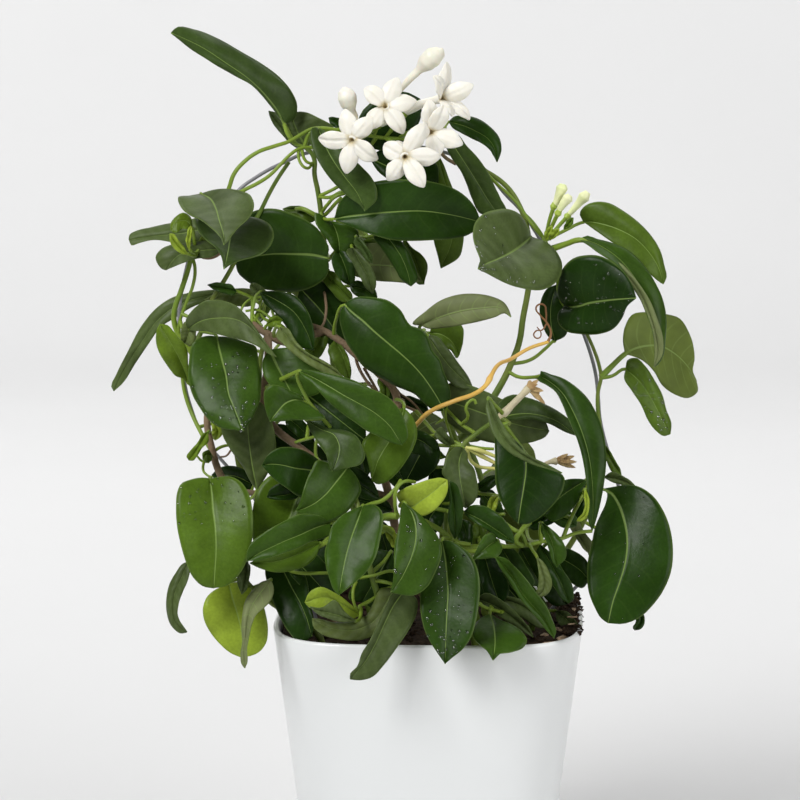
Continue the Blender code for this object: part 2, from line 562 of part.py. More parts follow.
def leafy_pieces(name, shoot, facing_back=False):
    """The separate pieces of one leafy shoot, before they are joined."""
    courses = stem_courses(shoot["stems"])
    pieces = []
    for number, (stem, points) in enumerate(zip(shoot["stems"], courses), 1):
        radii = tapered(len(points), stem[1], stem[2])
        sides = 5 if number == 1 else 4
        pieces.append(tube(f"{name}_stem_{number}", points, radii, sides))
    for number, entry in enumerate(shoot["leaves"], 1):
        heel, tip = spot(*entry[0]), spot(*entry[1])
        middle = (heel + tip) / 2
        if facing_back:
            face = Vector((middle.x * 0.6, 0.12, 0.05)).normalized()
            bends = {"wide": entry[2], "arch": entry[3], "fold": 9, "outline": SMALL_OVAL}
        else:
            face = (EYE - middle).normalized()
            bends = dict(zip(("wide", "bow", "arch", "roll", "fold", "outline"), entry[2:]))
        root, gap = nearest_on(heel, courses)
        if gap < SHORTEST_STALK:
            heel = root + (tip - root).normalized() * SHORTEST_STALK
        turn = (heel - root).angle(tip - heel, 0.0)
        straight = turn < math.radians(70)
        leaf = blade(f"{name}_leaf_{number}", heel, tip, face, root=root if straight else None, **bends)
        pieces.append(leaf)
        if not straight:
            inside = midrib(heel, tip, face, bends.get("bow", 0.0), bends["arch"], 0.09)
            pieces.append(petiole(f"{name}_stalk_{number}", heel, inside, root))
    return pieces


def seat_on(shoot_name, number):
    """Where a flower or bud begins on its stalk, with the stalk's direction there."""
    before, end = stem_courses(SHOOTS[shoot_name]["stems"])[number - 1][-2:]
    onward = (end - before).normalized()
    return end + onward * SEAT_GAP, onward


def flower_pieces(name, number, throat, tips):
    """An open flower: a waxy tube and five lobes that spread from its throat."""
    base, onward = seat_on("vine_top", number)
    middle = spot(*throat)
    axis = (middle - base).normalized()
    points = [base, base + onward * 0.0014, base.lerp(middle, 0.3), base.lerp(middle, 0.8), middle + axis * 0.0012]
    pieces = [tube(f"{name}_tube", points, [0.0017, 0.0021, 0.0027, 0.0021, 0.0039], sides=5)]
    for number, where in enumerate(tips, 1):
        end = spot(*where)
        start = middle + (end - middle).normalized() * 0.0024
        pieces.append(blade(
            f"{name}_lobe_{number}", start, end, axis, 10.5, arch=1.2, fold=-8, outline=PETAL, thick=PETAL_THICK))
    return pieces


def turned(name, spots, foot=(), radius=0.0):
    """A round piece through spots that each hold a radius, with the points of its foot ahead of them."""
    points = list(foot) + [spot(*where[:3]) for where in spots]
    radii = [radius * MM] * len(foot) + [where[3] * MM for where in spots]
    return tube(name, points, radii, sides=7)


def bud_piece(name, shoot_name, number, radius, spots):
    """A closed bud, turned round its own line and seated on its stalk."""
    base, onward = seat_on(shoot_name, number)
    return turned(name, spots, foot=[base, base + onward * 0.001], radius=radius)


def joined(name, pieces, look):
    """The pieces as one solid, made by one union."""
    base = pieces[0]
    group = bpy.data.collections.new(name + "_pieces")
    for piece in pieces[1:]:
        group.objects.link(piece)
    if len(pieces) > 1:
        union = base.modifiers.new("union", "BOOLEAN")
        union.operation = "UNION"
        union.operand_type = "COLLECTION"
        union.collection = group
        union.solver = "MANIFOLD"
    bpy.context.view_layer.update()
    result = base.evaluated_get(bpy.context.evaluated_depsgraph_get())
    mesh = bpy.data.meshes.new_from_object(result)
    for piece in pieces:
        bpy.data.objects.remove(piece)
    bpy.data.collections.remove(group)
    tidy_mesh(mesh)
    made = bpy.data.objects.new(name, mesh)
    bpy.context.scene.collection.objects.link(made)
    mesh.materials.clear()
    mesh.materials.append(look)
    return made


def tidy_mesh(mesh):
    """Welds hair-thin edges left by the union and keeps the largest body."""
    shape = bmesh.new()
    shape.from_mesh(mesh)
    bmesh.ops.remove_doubles(shape, verts=shape.verts, dist=0.000004)
    bmesh.ops.dissolve_degenerate(shape, edges=shape.edges, dist=0.000004)
    bmesh.ops.triangulate(shape, faces=shape.faces)
    todo = set(shape.faces)
    bodies = []
    while todo:
        seed = todo.pop()
        body = [seed]
        front = [seed]
        while front:
            face = front.pop()
            for edge in face.edges:
                for other in edge.link_faces:
                    if other in todo:
                        todo.remove(other)
                        body.append(other)
                        front.append(other)
        bodies.append(body)
    bodies.sort(key=len, reverse=True)
    spare = [face for body in bodies[1:] for face in body]
    if spare:
        bmesh.ops.delete(shape, geom=spare, context="FACES")
    bmesh.ops.recalc_face_normals(shape, faces=shape.faces)
    shape.to_mesh(mesh)
    shape.free()


def plan_ring(half, z, inset=0.0):
    """Points of the planter's round-cornered square at a height."""
    points = []
    for index in range(POT_SEGMENTS):
        turn = 2 * math.pi * index / POT_SEGMENTS
        c, s = math.cos(turn), math.sin(turn)
        reach = half - inset
        x = reach * math.copysign(abs(c) ** (2 / POT_POWER), c)
        y = reach * math.copysign(abs(s) ** (2 / POT_POWER), s)
        points.append(Vector((x * math.cos(POT_YAW) - y * math.sin(POT_YAW),
                              x * math.sin(POT_YAW) + y * math.cos(POT_YAW), z)))
    return points


def half_at(z):
    """The planter's outer half width at a height."""
    return POT_BASE_HALF + (POT_RIM_HALF - POT_BASE_HALF) * z / POT_HEIGHT


def loft(name, rings):
    """A closed solid through rings of equal count, capped at the first and the last."""
    shape = bmesh.new()
    loops = [[shape.verts.new(point) for point in ring] for ring in rings]
    for lower, upper in zip(loops, loops[1:]):
        count = len(lower)
        for index in range(count):
            nxt = (index + 1) % count
            shape.faces.new((lower[index], lower[nxt], upper[nxt], upper[index]))
    shape.faces.new(list(reversed(loops[0])))
    shape.faces.new(loops[-1])
    return object_from(shape, name)


def make_planter(look):
    """The pot: floor, tapering wall and a small rounded rim."""
    high, wall = POT_HEIGHT, POT_WALL
    rings = [
        plan_ring(half_at(0.0) - 0.002, 0.0),
        plan_ring(half_at(0.0), 0.002),
        plan_ring(half_at(high - 0.0015), high - 0.0015),
        plan_ring(half_at(high) - 0.0008, high),
        plan_ring(half_at(high) - wall + 0.0008, high),
        plan_ring(half_at(high - 0.0015) - wall, high - 0.0015),
        plan_ring(half_at(POT_FLOOR) - wall, POT_FLOOR),
    ]
    planter = loft("planter", rings)
    planter.data.materials.append(look)
    return planter


def make_soil(look, feet):
    """The soil: a plug that fills the pot, its top raised a little, with a hole for every foot."""
    shape = bmesh.new()
    low = POT_FLOOR + SOIL_GAP
    levels = [low, SOIL_TOP - 0.004]
    loops = []
    for z in levels:
        ring = plan_ring(half_at(z) - POT_WALL, z, inset=SOIL_GAP)
        loops.append([shape.verts.new(point) for point in ring])
    for share in (1.0, 0.70, 0.34):
        loop = []
        for point in plan_ring(half_at(SOIL_TOP) - POT_WALL, 0.0, inset=SOIL_GAP + 0.0008):
            x, y = point.x * share, point.y * share
            loop.append(shape.verts.new((x, y, soil_height(x, y) - (0.0015 if share == 1.0 else 0.0))))
        loops.append(loop)
    for lower, upper in zip(loops, loops[1:]):
        for index in range(POT_SEGMENTS):
            nxt = (index + 1) % POT_SEGMENTS
            shape.faces.new((lower[index], lower[nxt], upper[nxt], upper[index]))
    shape.faces.new(list(reversed(loops[0])))
    shape.faces.new(loops[-1])
    bmesh.ops.triangulate(shape, faces=shape.faces)
    soil = object_from(shape, "soil")
    holes = bpy.data.collections.new("soil_holes")
    cutters = []
    for number, (place, radius) in enumerate(feet, 1):
        x, y = place[0] * MM, place[1] * MM
        top = soil_height(x, y)
        reach = radius * MM + HOLE_PLAY
        points = [Vector((x, y, top - ROOT_DEPTH - 0.0003)), Vector((x, y, top + 0.012))]
        cutter = tube(f"soil_hole_{number}", points, [reach, reach], sides=6)
        cutter.hide_render = True
        cutter.display_type = "WIRE"
        holes.objects.link(cutter)
        cutters.append(cutter)
    cut = soil.modifiers.new("holes", "BOOLEAN")
    cut.operation = "DIFFERENCE"
    cut.operand_type = "COLLECTION"
    cut.collection = holes
    cut.solver = "EXACT"
    bpy.context.view_layer.update()
    result = soil.evaluated_get(bpy.context.evaluated_depsgraph_get())
    mesh = bpy.data.meshes.new_from_object(result)
    for cutter in cutters:
        bpy.data.objects.remove(cutter)
    bpy.data.collections.remove(holes)
    bpy.data.objects.remove(soil)
    tidy_mesh(mesh)
    soil = bpy.data.objects.new("soil", mesh)
    bpy.context.scene.collection.objects.link(soil)
    mesh.materials.clear()
    mesh.materials.append(look)
    return soil


def make_hoop(look):
    """The support: one rod from its left foot over the top to its right foot."""
    left, right = (foot_points(place) for place in HOOP_FEET)
    points = left + [spot(*where) for where in HOOP] + list(reversed(right))
    hoop = tube("support_hoop", points, [WIRE_RADIUS] * len(points), sides=5)
    hoop.data.materials.append(look)
    return hoop


def all_feet():
    """Every place where something stands in the soil, with its radius in millimetres."""
    feet = [(place, WIRE_RADIUS / MM) for place in HOOP_FEET]
    for shoots in (SHOOTS, BACK_SHOOTS):
        for shoot in shoots.values():
            for place, radius, _, _ in shoot["stems"]:
                if place:
                    feet.append((place, radius))
    return feet


def build_all():
    """Makes every piece of the plant."""
    start_clean()
    pot_white = material("pot_white", (0.86, 0.87, 0.88), 0.28)
    peat = material("peat", (0.045, 0.028, 0.018), 0.95)
    wire = material("wire_grey", (0.17, 0.17, 0.18), 0.5)
    leaf_green = material("leaf_green", (0.045, 0.13, 0.03), 0.38)
    petal_white = material("petal_ivory", (0.88, 0.85, 0.76), 0.45)
    bud_green = material("bud_green", (0.72, 0.78, 0.32), 0.45)
    dry_tan = material("dry_tan", (0.62, 0.50, 0.32), 0.8)
    runner_yellow = material("runner_yellow", (0.78, 0.50, 0.15), 0.5)
    shoot_yellow = material("shoot_yellow", (0.80, 0.74, 0.28), 0.5)

    make_planter(pot_white)
    make_soil(peat, all_feet())
    make_hoop(wire)
    for name, shoot in SHOOTS.items():
        joined(name, leafy_pieces(name, shoot), leaf_green)
    for name, shoot in BACK_SHOOTS.items():
        joined(name, leafy_pieces(name, shoot, facing_back=True), leaf_green)
    for name, (number, throat, tips) in FLOWERS.items():
        joined(name, flower_pieces(name, number, throat, tips), petal_white)
    for name, (shoot_name, number, radius, spots) in BUDS.items():
        bud = bud_piece(name, shoot_name, number, radius, spots)
        bud.data.materials.append(bud_green if name.startswith("side") else petal_white)
    for name, (spots, tips) in DRIED.items():
        pieces = [turned(name + "_tube", spots)]
        neck = spot(*spots[-1][:3])
        for number, where in enumerate(tips, 1):
            end = spot(*where)
            start = neck - (end - neck).normalized() * 0.001
            pieces.append(blade(
                f"{name}_lobe_{number}", start, end, (EYE - end).normalized(), 4.5, arch=0.6, fold=20,
                outline=PETAL, thick=PETAL_THICK))
        joined(name, pieces, dry_tan)
    runner = turned("yellow_runner", RUNNER)
    runner.data.materials.append(runner_yellow)
    joined("yellow_shoots", [turned(f"yellow_shoot_{i}", line) for i, line in enumerate(YELLOW_SHOOTS, 1)],
           shoot_yellow)


build_all()
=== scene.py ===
# %% [markdown]
# # A potted Madagascar jasmine
#
# The plant is a twiner. Its stems wind up a wire hoop and carry pairs of thick, leathery leaves, and at the top
# they carry a bunch of waxy white flowers. This lesson takes a plain solid model, which has every piece at its
# real size and place, and gives it fine leaves, round stems, real petals, a glossy pot and crumbly soil.
# Lengths are in metres, +Z is up, and the plant's face looks along -Y.

# %% Load the plain model
import math
import random

import bpy
import numpy as np
from mathutils import Matrix, Vector, noise


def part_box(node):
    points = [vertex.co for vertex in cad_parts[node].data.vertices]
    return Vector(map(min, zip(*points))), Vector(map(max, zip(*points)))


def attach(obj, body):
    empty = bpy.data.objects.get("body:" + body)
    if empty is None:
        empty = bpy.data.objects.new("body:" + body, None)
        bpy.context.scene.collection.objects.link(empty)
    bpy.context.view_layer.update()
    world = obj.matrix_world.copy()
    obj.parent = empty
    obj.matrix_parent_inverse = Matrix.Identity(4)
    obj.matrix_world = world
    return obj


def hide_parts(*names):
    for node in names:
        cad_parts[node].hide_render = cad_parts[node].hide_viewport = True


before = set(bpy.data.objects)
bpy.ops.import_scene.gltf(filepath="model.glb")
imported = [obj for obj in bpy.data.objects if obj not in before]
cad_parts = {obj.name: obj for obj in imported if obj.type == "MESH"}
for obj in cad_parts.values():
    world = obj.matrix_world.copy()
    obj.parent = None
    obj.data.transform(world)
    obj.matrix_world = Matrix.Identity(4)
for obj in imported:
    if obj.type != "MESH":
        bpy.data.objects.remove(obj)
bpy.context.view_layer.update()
MM = 0.001

# %% [markdown]
# ## Sight lines
#
# A climbing plant is easiest to place from the front, the way a painter would: each leaf has a place across, a
# place up, and a depth. The camera is a long lens a little above the plant, and `spot` gives the point of space
# that it sees at a column and a row of an 800-pixel square picture, at a depth in millimetres behind the hoop.
# Every stem and leaf below is placed with it, so what the camera sees and where things are can't drift apart.

# %% The camera's line of sight
VIEW_DISTANCE = 1.65
VIEW_PITCH = math.radians(8.1)
VIEW_PIXEL = 0.00055
VIEW_CENTRE = 400.0
VIEW_AIM = Vector((-0.0165, 0.0, 0.284))
SENSOR = 36.0

LOOK = Vector((0.0, math.cos(VIEW_PITCH), -math.sin(VIEW_PITCH)))
UP = Vector((0.0, math.sin(VIEW_PITCH), math.cos(VIEW_PITCH)))
EYE = VIEW_AIM - LOOK * VIEW_DISTANCE


def spot(column, row, depth):
    """The point of space seen at that column and row, at that depth in millimetres."""
    per_pixel = VIEW_PIXEL / VIEW_DISTANCE
    ray = LOOK + Vector((1, 0, 0)) * ((column - VIEW_CENTRE) * per_pixel)
    ray += UP * ((VIEW_CENTRE - row) * per_pixel)
    return EYE + ray * ((depth * MM - EYE.y) / ray.y)


# %% [markdown]
# ## Working by hand, in code
#
# An operator acts on whatever is selected, so each step starts by selecting one thing and nothing else. These
# few helpers keep that honest. They select, start a shape, copy, apply, join and smooth, and the last one sets a
# finished piece on the plant and hides the nodes of the plain model that it stands for.

# %% Helpers for selecting, copying, joining and handing over
def alone(*things):
    """Selects these objects and nothing else. The first one is active."""
    bpy.ops.object.select_all(action="DESELECT")
    for thing in things:
        thing.select_set(True)
    bpy.context.view_layer.objects.active = things[0]


def apply_modifier(thing, kind, **settings):
    """Adds a modifier to a piece and applies it."""
    alone(thing)
    modifier = thing.modifiers.new(kind.lower(), kind)
    for key, value in settings.items():
        setattr(modifier, key, value)
    bpy.ops.object.modifier_apply(modifier=modifier.name)


def new_shape(name, add, **settings):
    """Adds a simple shape at the middle of the scene, as the only thing that is selected."""
    bpy.ops.object.select_all(action="DESELECT")
    add(location=(0, 0, 0), **settings)
    thing = bpy.context.object
    thing.name = name
    return thing


def copied(blank, name):
    """A copy of a blank, with a mesh of its own."""
    copy = blank.copy()
    copy.data = blank.data.copy()
    copy.name = name
    copy.hide_render = False
    bpy.context.scene.collection.objects.link(copy)
    return copy


def dressed(thing, *finishes):
    """Gives a piece these finishes and no other."""
    thing.data.materials.clear()
    for finish in finishes:
        thing.data.materials.append(finish)


def smoothed(thing):
    """Shades a whole piece smooth."""
    alone(thing)
    bpy.ops.object.shade_smooth()


def raise_rings(rings, half, z):
    """Extrudes the selected face through rings, each a half width and a height."""
    for next_half, next_z in rings:
        bpy.ops.mesh.extrude_region_move(TRANSFORM_OT_translate={"value": (0, 0, next_z - z)})
        size = next_half / half
        bpy.ops.transform.resize(value=(size, size, 1.0), center_override=(0, 0, 0))
        half, z = next_half, next_z


def end_editing():
    """Turns every face outwards and leaves edit mode."""
    bpy.ops.mesh.select_all(action="SELECT")
    bpy.ops.mesh.normals_make_consistent(inside=False)
    bpy.ops.object.mode_set(mode="OBJECT")


def merged(name, parts):
    """Joins copies into one object with that name."""
    alone(*parts)
    if len(parts) > 1:
        bpy.ops.object.join()
    whole = bpy.context.view_layer.objects.active
    whole.name = name
    whole.data.name = name
    return whole


def finished(thing, slot, *nodes):
    """Sets a piece to ride on the plant and hides the plain nodes it stands for, if any; the slot is not used."""
    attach(thing, "root")
    if nodes:
        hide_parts(*nodes)
    return thing


# %% [markdown]
# ## Finishes
#
# Leaves of this plant are dark, smooth and a little waxy, with a pale midrib, faint side veins and a thin pale
# margin. No image is mapped onto them. Each blade carries two attributes: `lay` says how far across and
# along the blade a point is, and `tone` says how dark, how grey and how fresh that leaf is. The darkness is partly
# the leaf's age and partly painted light and shade, and the greyness is partly painted sheen. The shader turns
# them into colour, so one material serves every leaf and still no two look the same.

# %% Small helpers for shader nodes
def add_node(tree, kind, inputs=None, **settings):
    """Adds a shader node, sets it, and fills its inputs with values or with other nodes' outputs."""
    made = tree.nodes.new(kind)
    for key, value in settings.items():
        setattr(made, key, value)
    for socket, source in (inputs or {}).items():
        if isinstance(source, bpy.types.NodeSocket):
            tree.links.new(source, made.inputs[socket])
        else:
            made.inputs[socket].default_value = source
    return made


def blend_colours(tree, factor, first, second, blend="MIX"):
    """A colour between two colours; either may be a plain value or another node's output."""
    mix = add_node(tree, "ShaderNodeMix", data_type="RGBA", blend_type=blend)
    for index, source in ((0, factor), (6, first), (7, second)):
        if isinstance(source, bpy.types.NodeSocket):
            tree.links.new(source, mix.inputs[index])
        else:
            mix.inputs[index].default_value = source
    return mix.outputs[2]


def band(tree, value, start, end, low=0.0, high=1.0):
    """A smooth step: low until start, high from end on."""
    step = add_node(tree, "ShaderNodeMapRange", {
        "Value": value, "From Min": start, "From Max": end, "To Min": low, "To Max": high})
    step.interpolation_type = "SMOOTHSTEP"
    return step.outputs["Result"]


def sums(tree, operation, first, second=0.0):
    """One step of arithmetic."""
    return add_node(tree, "ShaderNodeMath", {0: first, 1: second}, operation=operation).outputs[0]


def add_bump(tree, height, strength, distance, under=None):
    """A bump of that height, on top of another bump if there is one."""
    inputs = {"Height": height, "Strength": strength, "Distance": distance}
    if under:
        inputs["Normal"] = under
    return add_node(tree, "ShaderNodeBump", inputs).outputs["Normal"]


def new_material(name, **values):
    """A Principled material with plain values set on its sockets."""
    made = bpy.data.materials.new(name)
    made.use_nodes = True
    shader = made.node_tree.nodes["Principled BSDF"]
    for key, value in values.items():
        shader.inputs[key.replace("_", " ")].default_value = value
    return made, made.node_tree, shader


# %% [markdown]
# Two effects come back in many finishes, so each is a node group. `mottle` is a soft cloud of light and dark, as
# every natural surface has. `leaf lines` reads a blade's `lay` and gives masks for the midrib, the side veins, the
# margin and broad bands along the side veins, where leaf_top paints sheen, with a height that makes the midrib a
# groove.

# %% The mottle group
def make_mottle():
    group = bpy.data.node_groups.new("mottle", "ShaderNodeTree")
    group.interface.new_socket("Vector", in_out="INPUT", socket_type="NodeSocketVector")
    for name, value in (("Scale", 80.0), ("Low", 0.8), ("High", 1.2)):
        group.interface.new_socket(name, in_out="INPUT", socket_type="NodeSocketFloat").default_value = value
    group.interface.new_socket("Value", in_out="OUTPUT", socket_type="NodeSocketFloat")
    given = group.nodes.new("NodeGroupInput")
    result = group.nodes.new("NodeGroupOutput")
    cloud = add_node(group, "ShaderNodeTexNoise", {
        "Vector": given.outputs["Vector"], "Scale": given.outputs["Scale"], "Detail": 3.0})
    spread = add_node(group, "ShaderNodeMapRange", {
        "Value": cloud.outputs["Fac"], "From Min": 0.3, "From Max": 0.7,
        "To Min": given.outputs["Low"], "To Max": given.outputs["High"]})
    group.links.new(spread.outputs["Result"], result.inputs["Value"])
    return group


MOTTLE = make_mottle()


def mottle(tree, scale, low, high):
    """A soft cloud on the object's own coordinates."""
    place = add_node(tree, "ShaderNodeTexCoord")
    cloud = add_node(tree, "ShaderNodeGroup", {
        "Vector": place.outputs["Object"], "Scale": scale, "Low": low, "High": high}, node_tree=MOTTLE)
    return cloud.outputs["Value"]


# %% The leaf lines group
VEIN_PAIRS = 8.0
VEIN_SLANT = 1.5


def make_leaf_lines():
    group = bpy.data.node_groups.new("leaf lines", "ShaderNodeTree")
    group.interface.new_socket("Lay", in_out="INPUT", socket_type="NodeSocketVector")
    for name in ("Midrib", "Veins", "Quilt", "Margin", "Height"):
        group.interface.new_socket(name, in_out="OUTPUT", socket_type="NodeSocketFloat")
    given = group.nodes.new("NodeGroupInput")
    result = group.nodes.new("NodeGroupOutput")
    parts = add_node(group, "ShaderNodeSeparateXYZ", {"Vector": given.outputs["Lay"]})
    along = parts.outputs["Y"]
    aside = sums(group, "ABSOLUTE", parts.outputs["X"])
    taper = band(group, along, 0.0, 1.0, 1.0, 2.6)
    close = sums(group, "MULTIPLY", aside, taper)
    midrib = band(group, close, 0.016, 0.048, 1.0, 0.0)
    curved = sums(group, "POWER", aside, 1.5)
    phase = sums(group, "SUBTRACT", sums(group, "MULTIPLY", along, VEIN_PAIRS),
                 sums(group, "MULTIPLY", curved, VEIN_SLANT))
    saw = sums(group, "ABSOLUTE", sums(group, "SUBTRACT", sums(group, "FRACT", phase), 0.5))
    fade = band(group, aside, 0.45, 0.90, 1.0, 0.1)
    veins = sums(group, "MULTIPLY", band(group, saw, 0.01, 0.09, 1.0, 0.0), fade)
    # broad bands along the side veins: a slight bump, and where leaf_top paints sheen
    quilt = sums(group, "MULTIPLY", band(group, saw, 0.05, 0.42, 1.0, 0.0), fade)
    margin = band(group, parts.outputs["Z"], 0.94, 0.99)
    groove = band(group, close, 0.0, 0.12, 0.0, 1.0)
    height = sums(group, "SUBTRACT", groove, sums(group, "MULTIPLY", quilt, 0.16))
    for name, value in (("Midrib", midrib), ("Veins", veins), ("Quilt", quilt), ("Margin", margin),
                        ("Height", height)):
        group.links.new(value, result.inputs[name])
    return group


LEAF_LINES = make_leaf_lines()
print("shader groups:", [group.name for group in bpy.data.node_groups])

# %% [markdown]
# The upper side of a blade goes from nearly black green when old to bright yellow-green when new. The same range
# also stands for painted light and shade: it is lighter for leaves that the light falls on and darker for leaves in
# shade. A grey-green, with pale streaks along the side veins, is painted sheen. The real shine comes from a smooth
# skin, so the roughness is low and a little uneven. The underside is paler, olive or grey-green and dull, and its
# midrib stands out.

# %% Leaf finishes
# The dark and light greens are partly painted shade and light. The grey-green and the pale quilt colour are painted
# sheen.
LEAF_DARK = (0.0066, 0.0225, 0.0018, 1.0)
LEAF_LIGHT = (0.033, 0.090, 0.004, 1.0)
LEAF_GREY_SHEEN = (0.092, 0.118, 0.040, 1.0)
LEAF_NEW = (0.265, 0.350, 0.034, 1.0)
RIB_PALE = (0.220, 0.320, 0.080, 1.0)
QUILT_SHEEN_PALE = (0.160, 0.200, 0.095, 1.0)
UNDER_OLIVE = (0.105, 0.150, 0.018, 1.0)
UNDER_GREY = (0.135, 0.155, 0.072, 1.0)
LEAF_ROUGH = 0.32
GREY_ROUGHER = 0.12
LINE_DEPTH = 0.0005


def leaf_inputs(tree):
    """The masks of the leaf lines and the three tones of the blade."""
    lay = add_node(tree, "ShaderNodeAttribute", attribute_name="lay")
    lines = add_node(tree, "ShaderNodeGroup", {"Lay": lay.outputs["Vector"]}, node_tree=LEAF_LINES)
    tone = add_node(tree, "ShaderNodeAttribute", attribute_name="tone")
    tones = add_node(tree, "ShaderNodeSeparateColor", {"Color": tone.outputs["Color"]})
    return lines.outputs, tones.outputs


def pale_lines(tree, colour, lines, shares):
    """A colour with the pale lines of the blade over it, each by its share."""
    for mask, share in shares:
        colour = blend_colours(tree, sums(tree, "MULTIPLY", lines[mask], share), colour, RIB_PALE)
    return colour


def make_leaf_top():
    made, tree, shader = new_material("leaf_top", Specular_IOR_Level=0.12)
    lines, tones = leaf_inputs(tree)
    # the tone's lightness: the blade's age, and partly painted light and shade
    colour = blend_colours(tree, tones["Red"], LEAF_DARK, LEAF_LIGHT)
    # the tone's greyness mixes in a grey-green: painted sheen
    colour = blend_colours(tree, tones["Green"], colour, LEAF_GREY_SHEEN)
    colour = blend_colours(tree, tones["Blue"], colour, LEAF_NEW)
    for scale, low, high in ((55.0, 0.76, 1.22), (700.0, 0.90, 1.12)):
        colour = blend_colours(tree, 1.0, colour, mottle(tree, scale, low, high), blend="MULTIPLY")
    # pale streaks along the side veins, stronger on grey leaves: painted sheen
    greyness = sums(tree, "POWER", tones["Green"], 2.2)
    painted_quilt_sheen = sums(tree, "MULTIPLY", lines["Quilt"], sums(tree, "MULTIPLY", greyness, 0.34))
    colour = blend_colours(tree, painted_quilt_sheen, colour, QUILT_SHEEN_PALE)
    colour = pale_lines(tree, colour, lines, (("Veins", 0.022), ("Margin", 0.24), ("Midrib", 0.62)))
    tree.links.new(colour, shader.inputs["Base Color"])
    rough = sums(tree, "MULTIPLY_ADD", tones["Green"], GREY_ROUGHER)
    rough.node.inputs[2].default_value = LEAF_ROUGH
    rough = sums(tree, "MULTIPLY", rough, mottle(tree, 140.0, 0.88, 1.14))
    tree.links.new(rough, shader.inputs["Roughness"])
    bump = add_bump(tree, lines["Height"], 0.45, LINE_DEPTH)
    for scale, strength, distance in ((110.0, 0.14, 0.0008), (420.0, 0.12, 0.0003)):
        bump = add_bump(tree, mottle(tree, scale, 0.0, 1.0), strength, distance, bump)
    tree.links.new(bump, shader.inputs["Normal"])
    return made


def make_leaf_under():
    made, tree, shader = new_material("leaf_under", Specular_IOR_Level=0.22)
    lines, tones = leaf_inputs(tree)
    colour = blend_colours(tree, tones["Green"], UNDER_OLIVE, UNDER_GREY)
    colour = blend_colours(tree, sums(tree, "MULTIPLY", tones["Blue"], 0.7), colour, LEAF_NEW)
    colour = blend_colours(tree, 1.0, colour, mottle(tree, 70.0, 0.80, 1.15), blend="MULTIPLY")
    colour = pale_lines(tree, colour, lines, (("Veins", 0.24), ("Midrib", 0.75)))
    tree.links.new(colour, shader.inputs["Base Color"])
    tree.links.new(mottle(tree, 160.0, 0.50, 0.64), shader.inputs["Roughness"])
    lifted = sums(tree, "SUBTRACT", 1.0, lines["Height"])
    tree.links.new(add_bump(tree, lifted, 0.5, LINE_DEPTH), shader.inputs["Normal"])
    return made


leaf_top = make_leaf_top()
leaf_under = make_leaf_under()
print("leaf finishes:", leaf_top.name, leaf_under.name)

# %% [markdown]
# The other finishes are simpler: a base colour under a mottle, a roughness that isn't quite even, and a bump at
# the scale of the real surface. One function makes them, and each call names what it is for.

# %% The other finishes
FINER_SHINE = 1.7
RELIEF_DEPTH = 0.0006


def plain_finish(name, colour, rough, scale=120.0, spread=0.15, bump=0.0, bump_scale=600.0, second=None,
                 patches=60.0, uneven=0.12, **values):
    """A colour with a soft mottle, an uneven roughness and a fine bump. A second colour comes in patches."""
    made, tree, shader = new_material(name, **values)
    base = (*colour, 1.0)
    if second:
        base = blend_colours(tree, mottle(tree, patches, 0.0, 1.0), base, (*second, 1.0))
    shade = blend_colours(tree, 1.0, base, mottle(tree, scale, 1.0 - spread, 1.0 + spread), blend="MULTIPLY")
    tree.links.new(shade, shader.inputs["Base Color"])
    shine = mottle(tree, scale * FINER_SHINE, rough * (1 - uneven), rough * (1 + uneven))
    tree.links.new(shine, shader.inputs["Roughness"])
    if bump:
        relief = add_bump(tree, mottle(tree, bump_scale, 0.0, 1.0), bump, RELIEF_DEPTH)
        tree.links.new(relief, shader.inputs["Normal"])
    return made


young_stem = plain_finish("young_stem", (0.21, 0.30, 0.030), 0.42, second=(0.14, 0.22, 0.025), bump=0.15,
                          Specular_IOR_Level=0.3)
green_stem = plain_finish("green_stem", (0.10, 0.17, 0.022), 0.48, second=(0.14, 0.18, 0.030), bump=0.2,
                          Specular_IOR_Level=0.3)
old_stem = plain_finish("old_stem", (0.270, 0.180, 0.112), 0.7, second=(0.145, 0.108, 0.062), bump=0.5,
                        Specular_IOR_Level=0.2)
wire_coat = plain_finish("wire_coat", (0.19, 0.19, 0.20), 0.36, spread=0.10, bump=0.08)
runner_skin = plain_finish("runner_skin", (0.74, 0.46, 0.07), 0.42, second=(0.55, 0.33, 0.09), bump=0.1)
tendril_skin = plain_finish("tendril_skin", (0.26, 0.12, 0.04), 0.6, bump=0.2)
pale_shoot = plain_finish("pale_shoot", (0.78, 0.70, 0.24), 0.45, second=(0.55, 0.58, 0.16), bump=0.1)
bud_skin = plain_finish("bud_skin", (0.80, 0.80, 0.50), 0.42, second=(0.68, 0.74, 0.36), patches=110.0, bump=0.1)
calyx_skin = plain_finish("calyx_skin", (0.26, 0.40, 0.035), 0.42, second=(0.40, 0.50, 0.08), bump=0.15)
white_bud_skin = plain_finish("white_bud_skin", (0.84, 0.81, 0.72), 0.42, second=(0.74, 0.74, 0.56), bump=0.08,
                              Subsurface_Weight=0.15, Subsurface_Scale=0.003)
dry_skin = plain_finish("dry_skin", (0.50, 0.36, 0.17), 0.85, second=(0.30, 0.18, 0.07), patches=190.0, bump=0.7)
dry_tube_skin = plain_finish("dry_tube_skin", (0.62, 0.58, 0.42), 0.6, second=(0.50, 0.42, 0.24), patches=70.0,
                             bump=0.25)
pot_skin = plain_finish("pot_skin", (0.76, 0.775, 0.775), 0.28, scale=9.0, spread=0.008, uneven=0.02, bump=0.012,
                        bump_scale=320.0, Coat_Weight=0.18, Coat_Roughness=0.10)
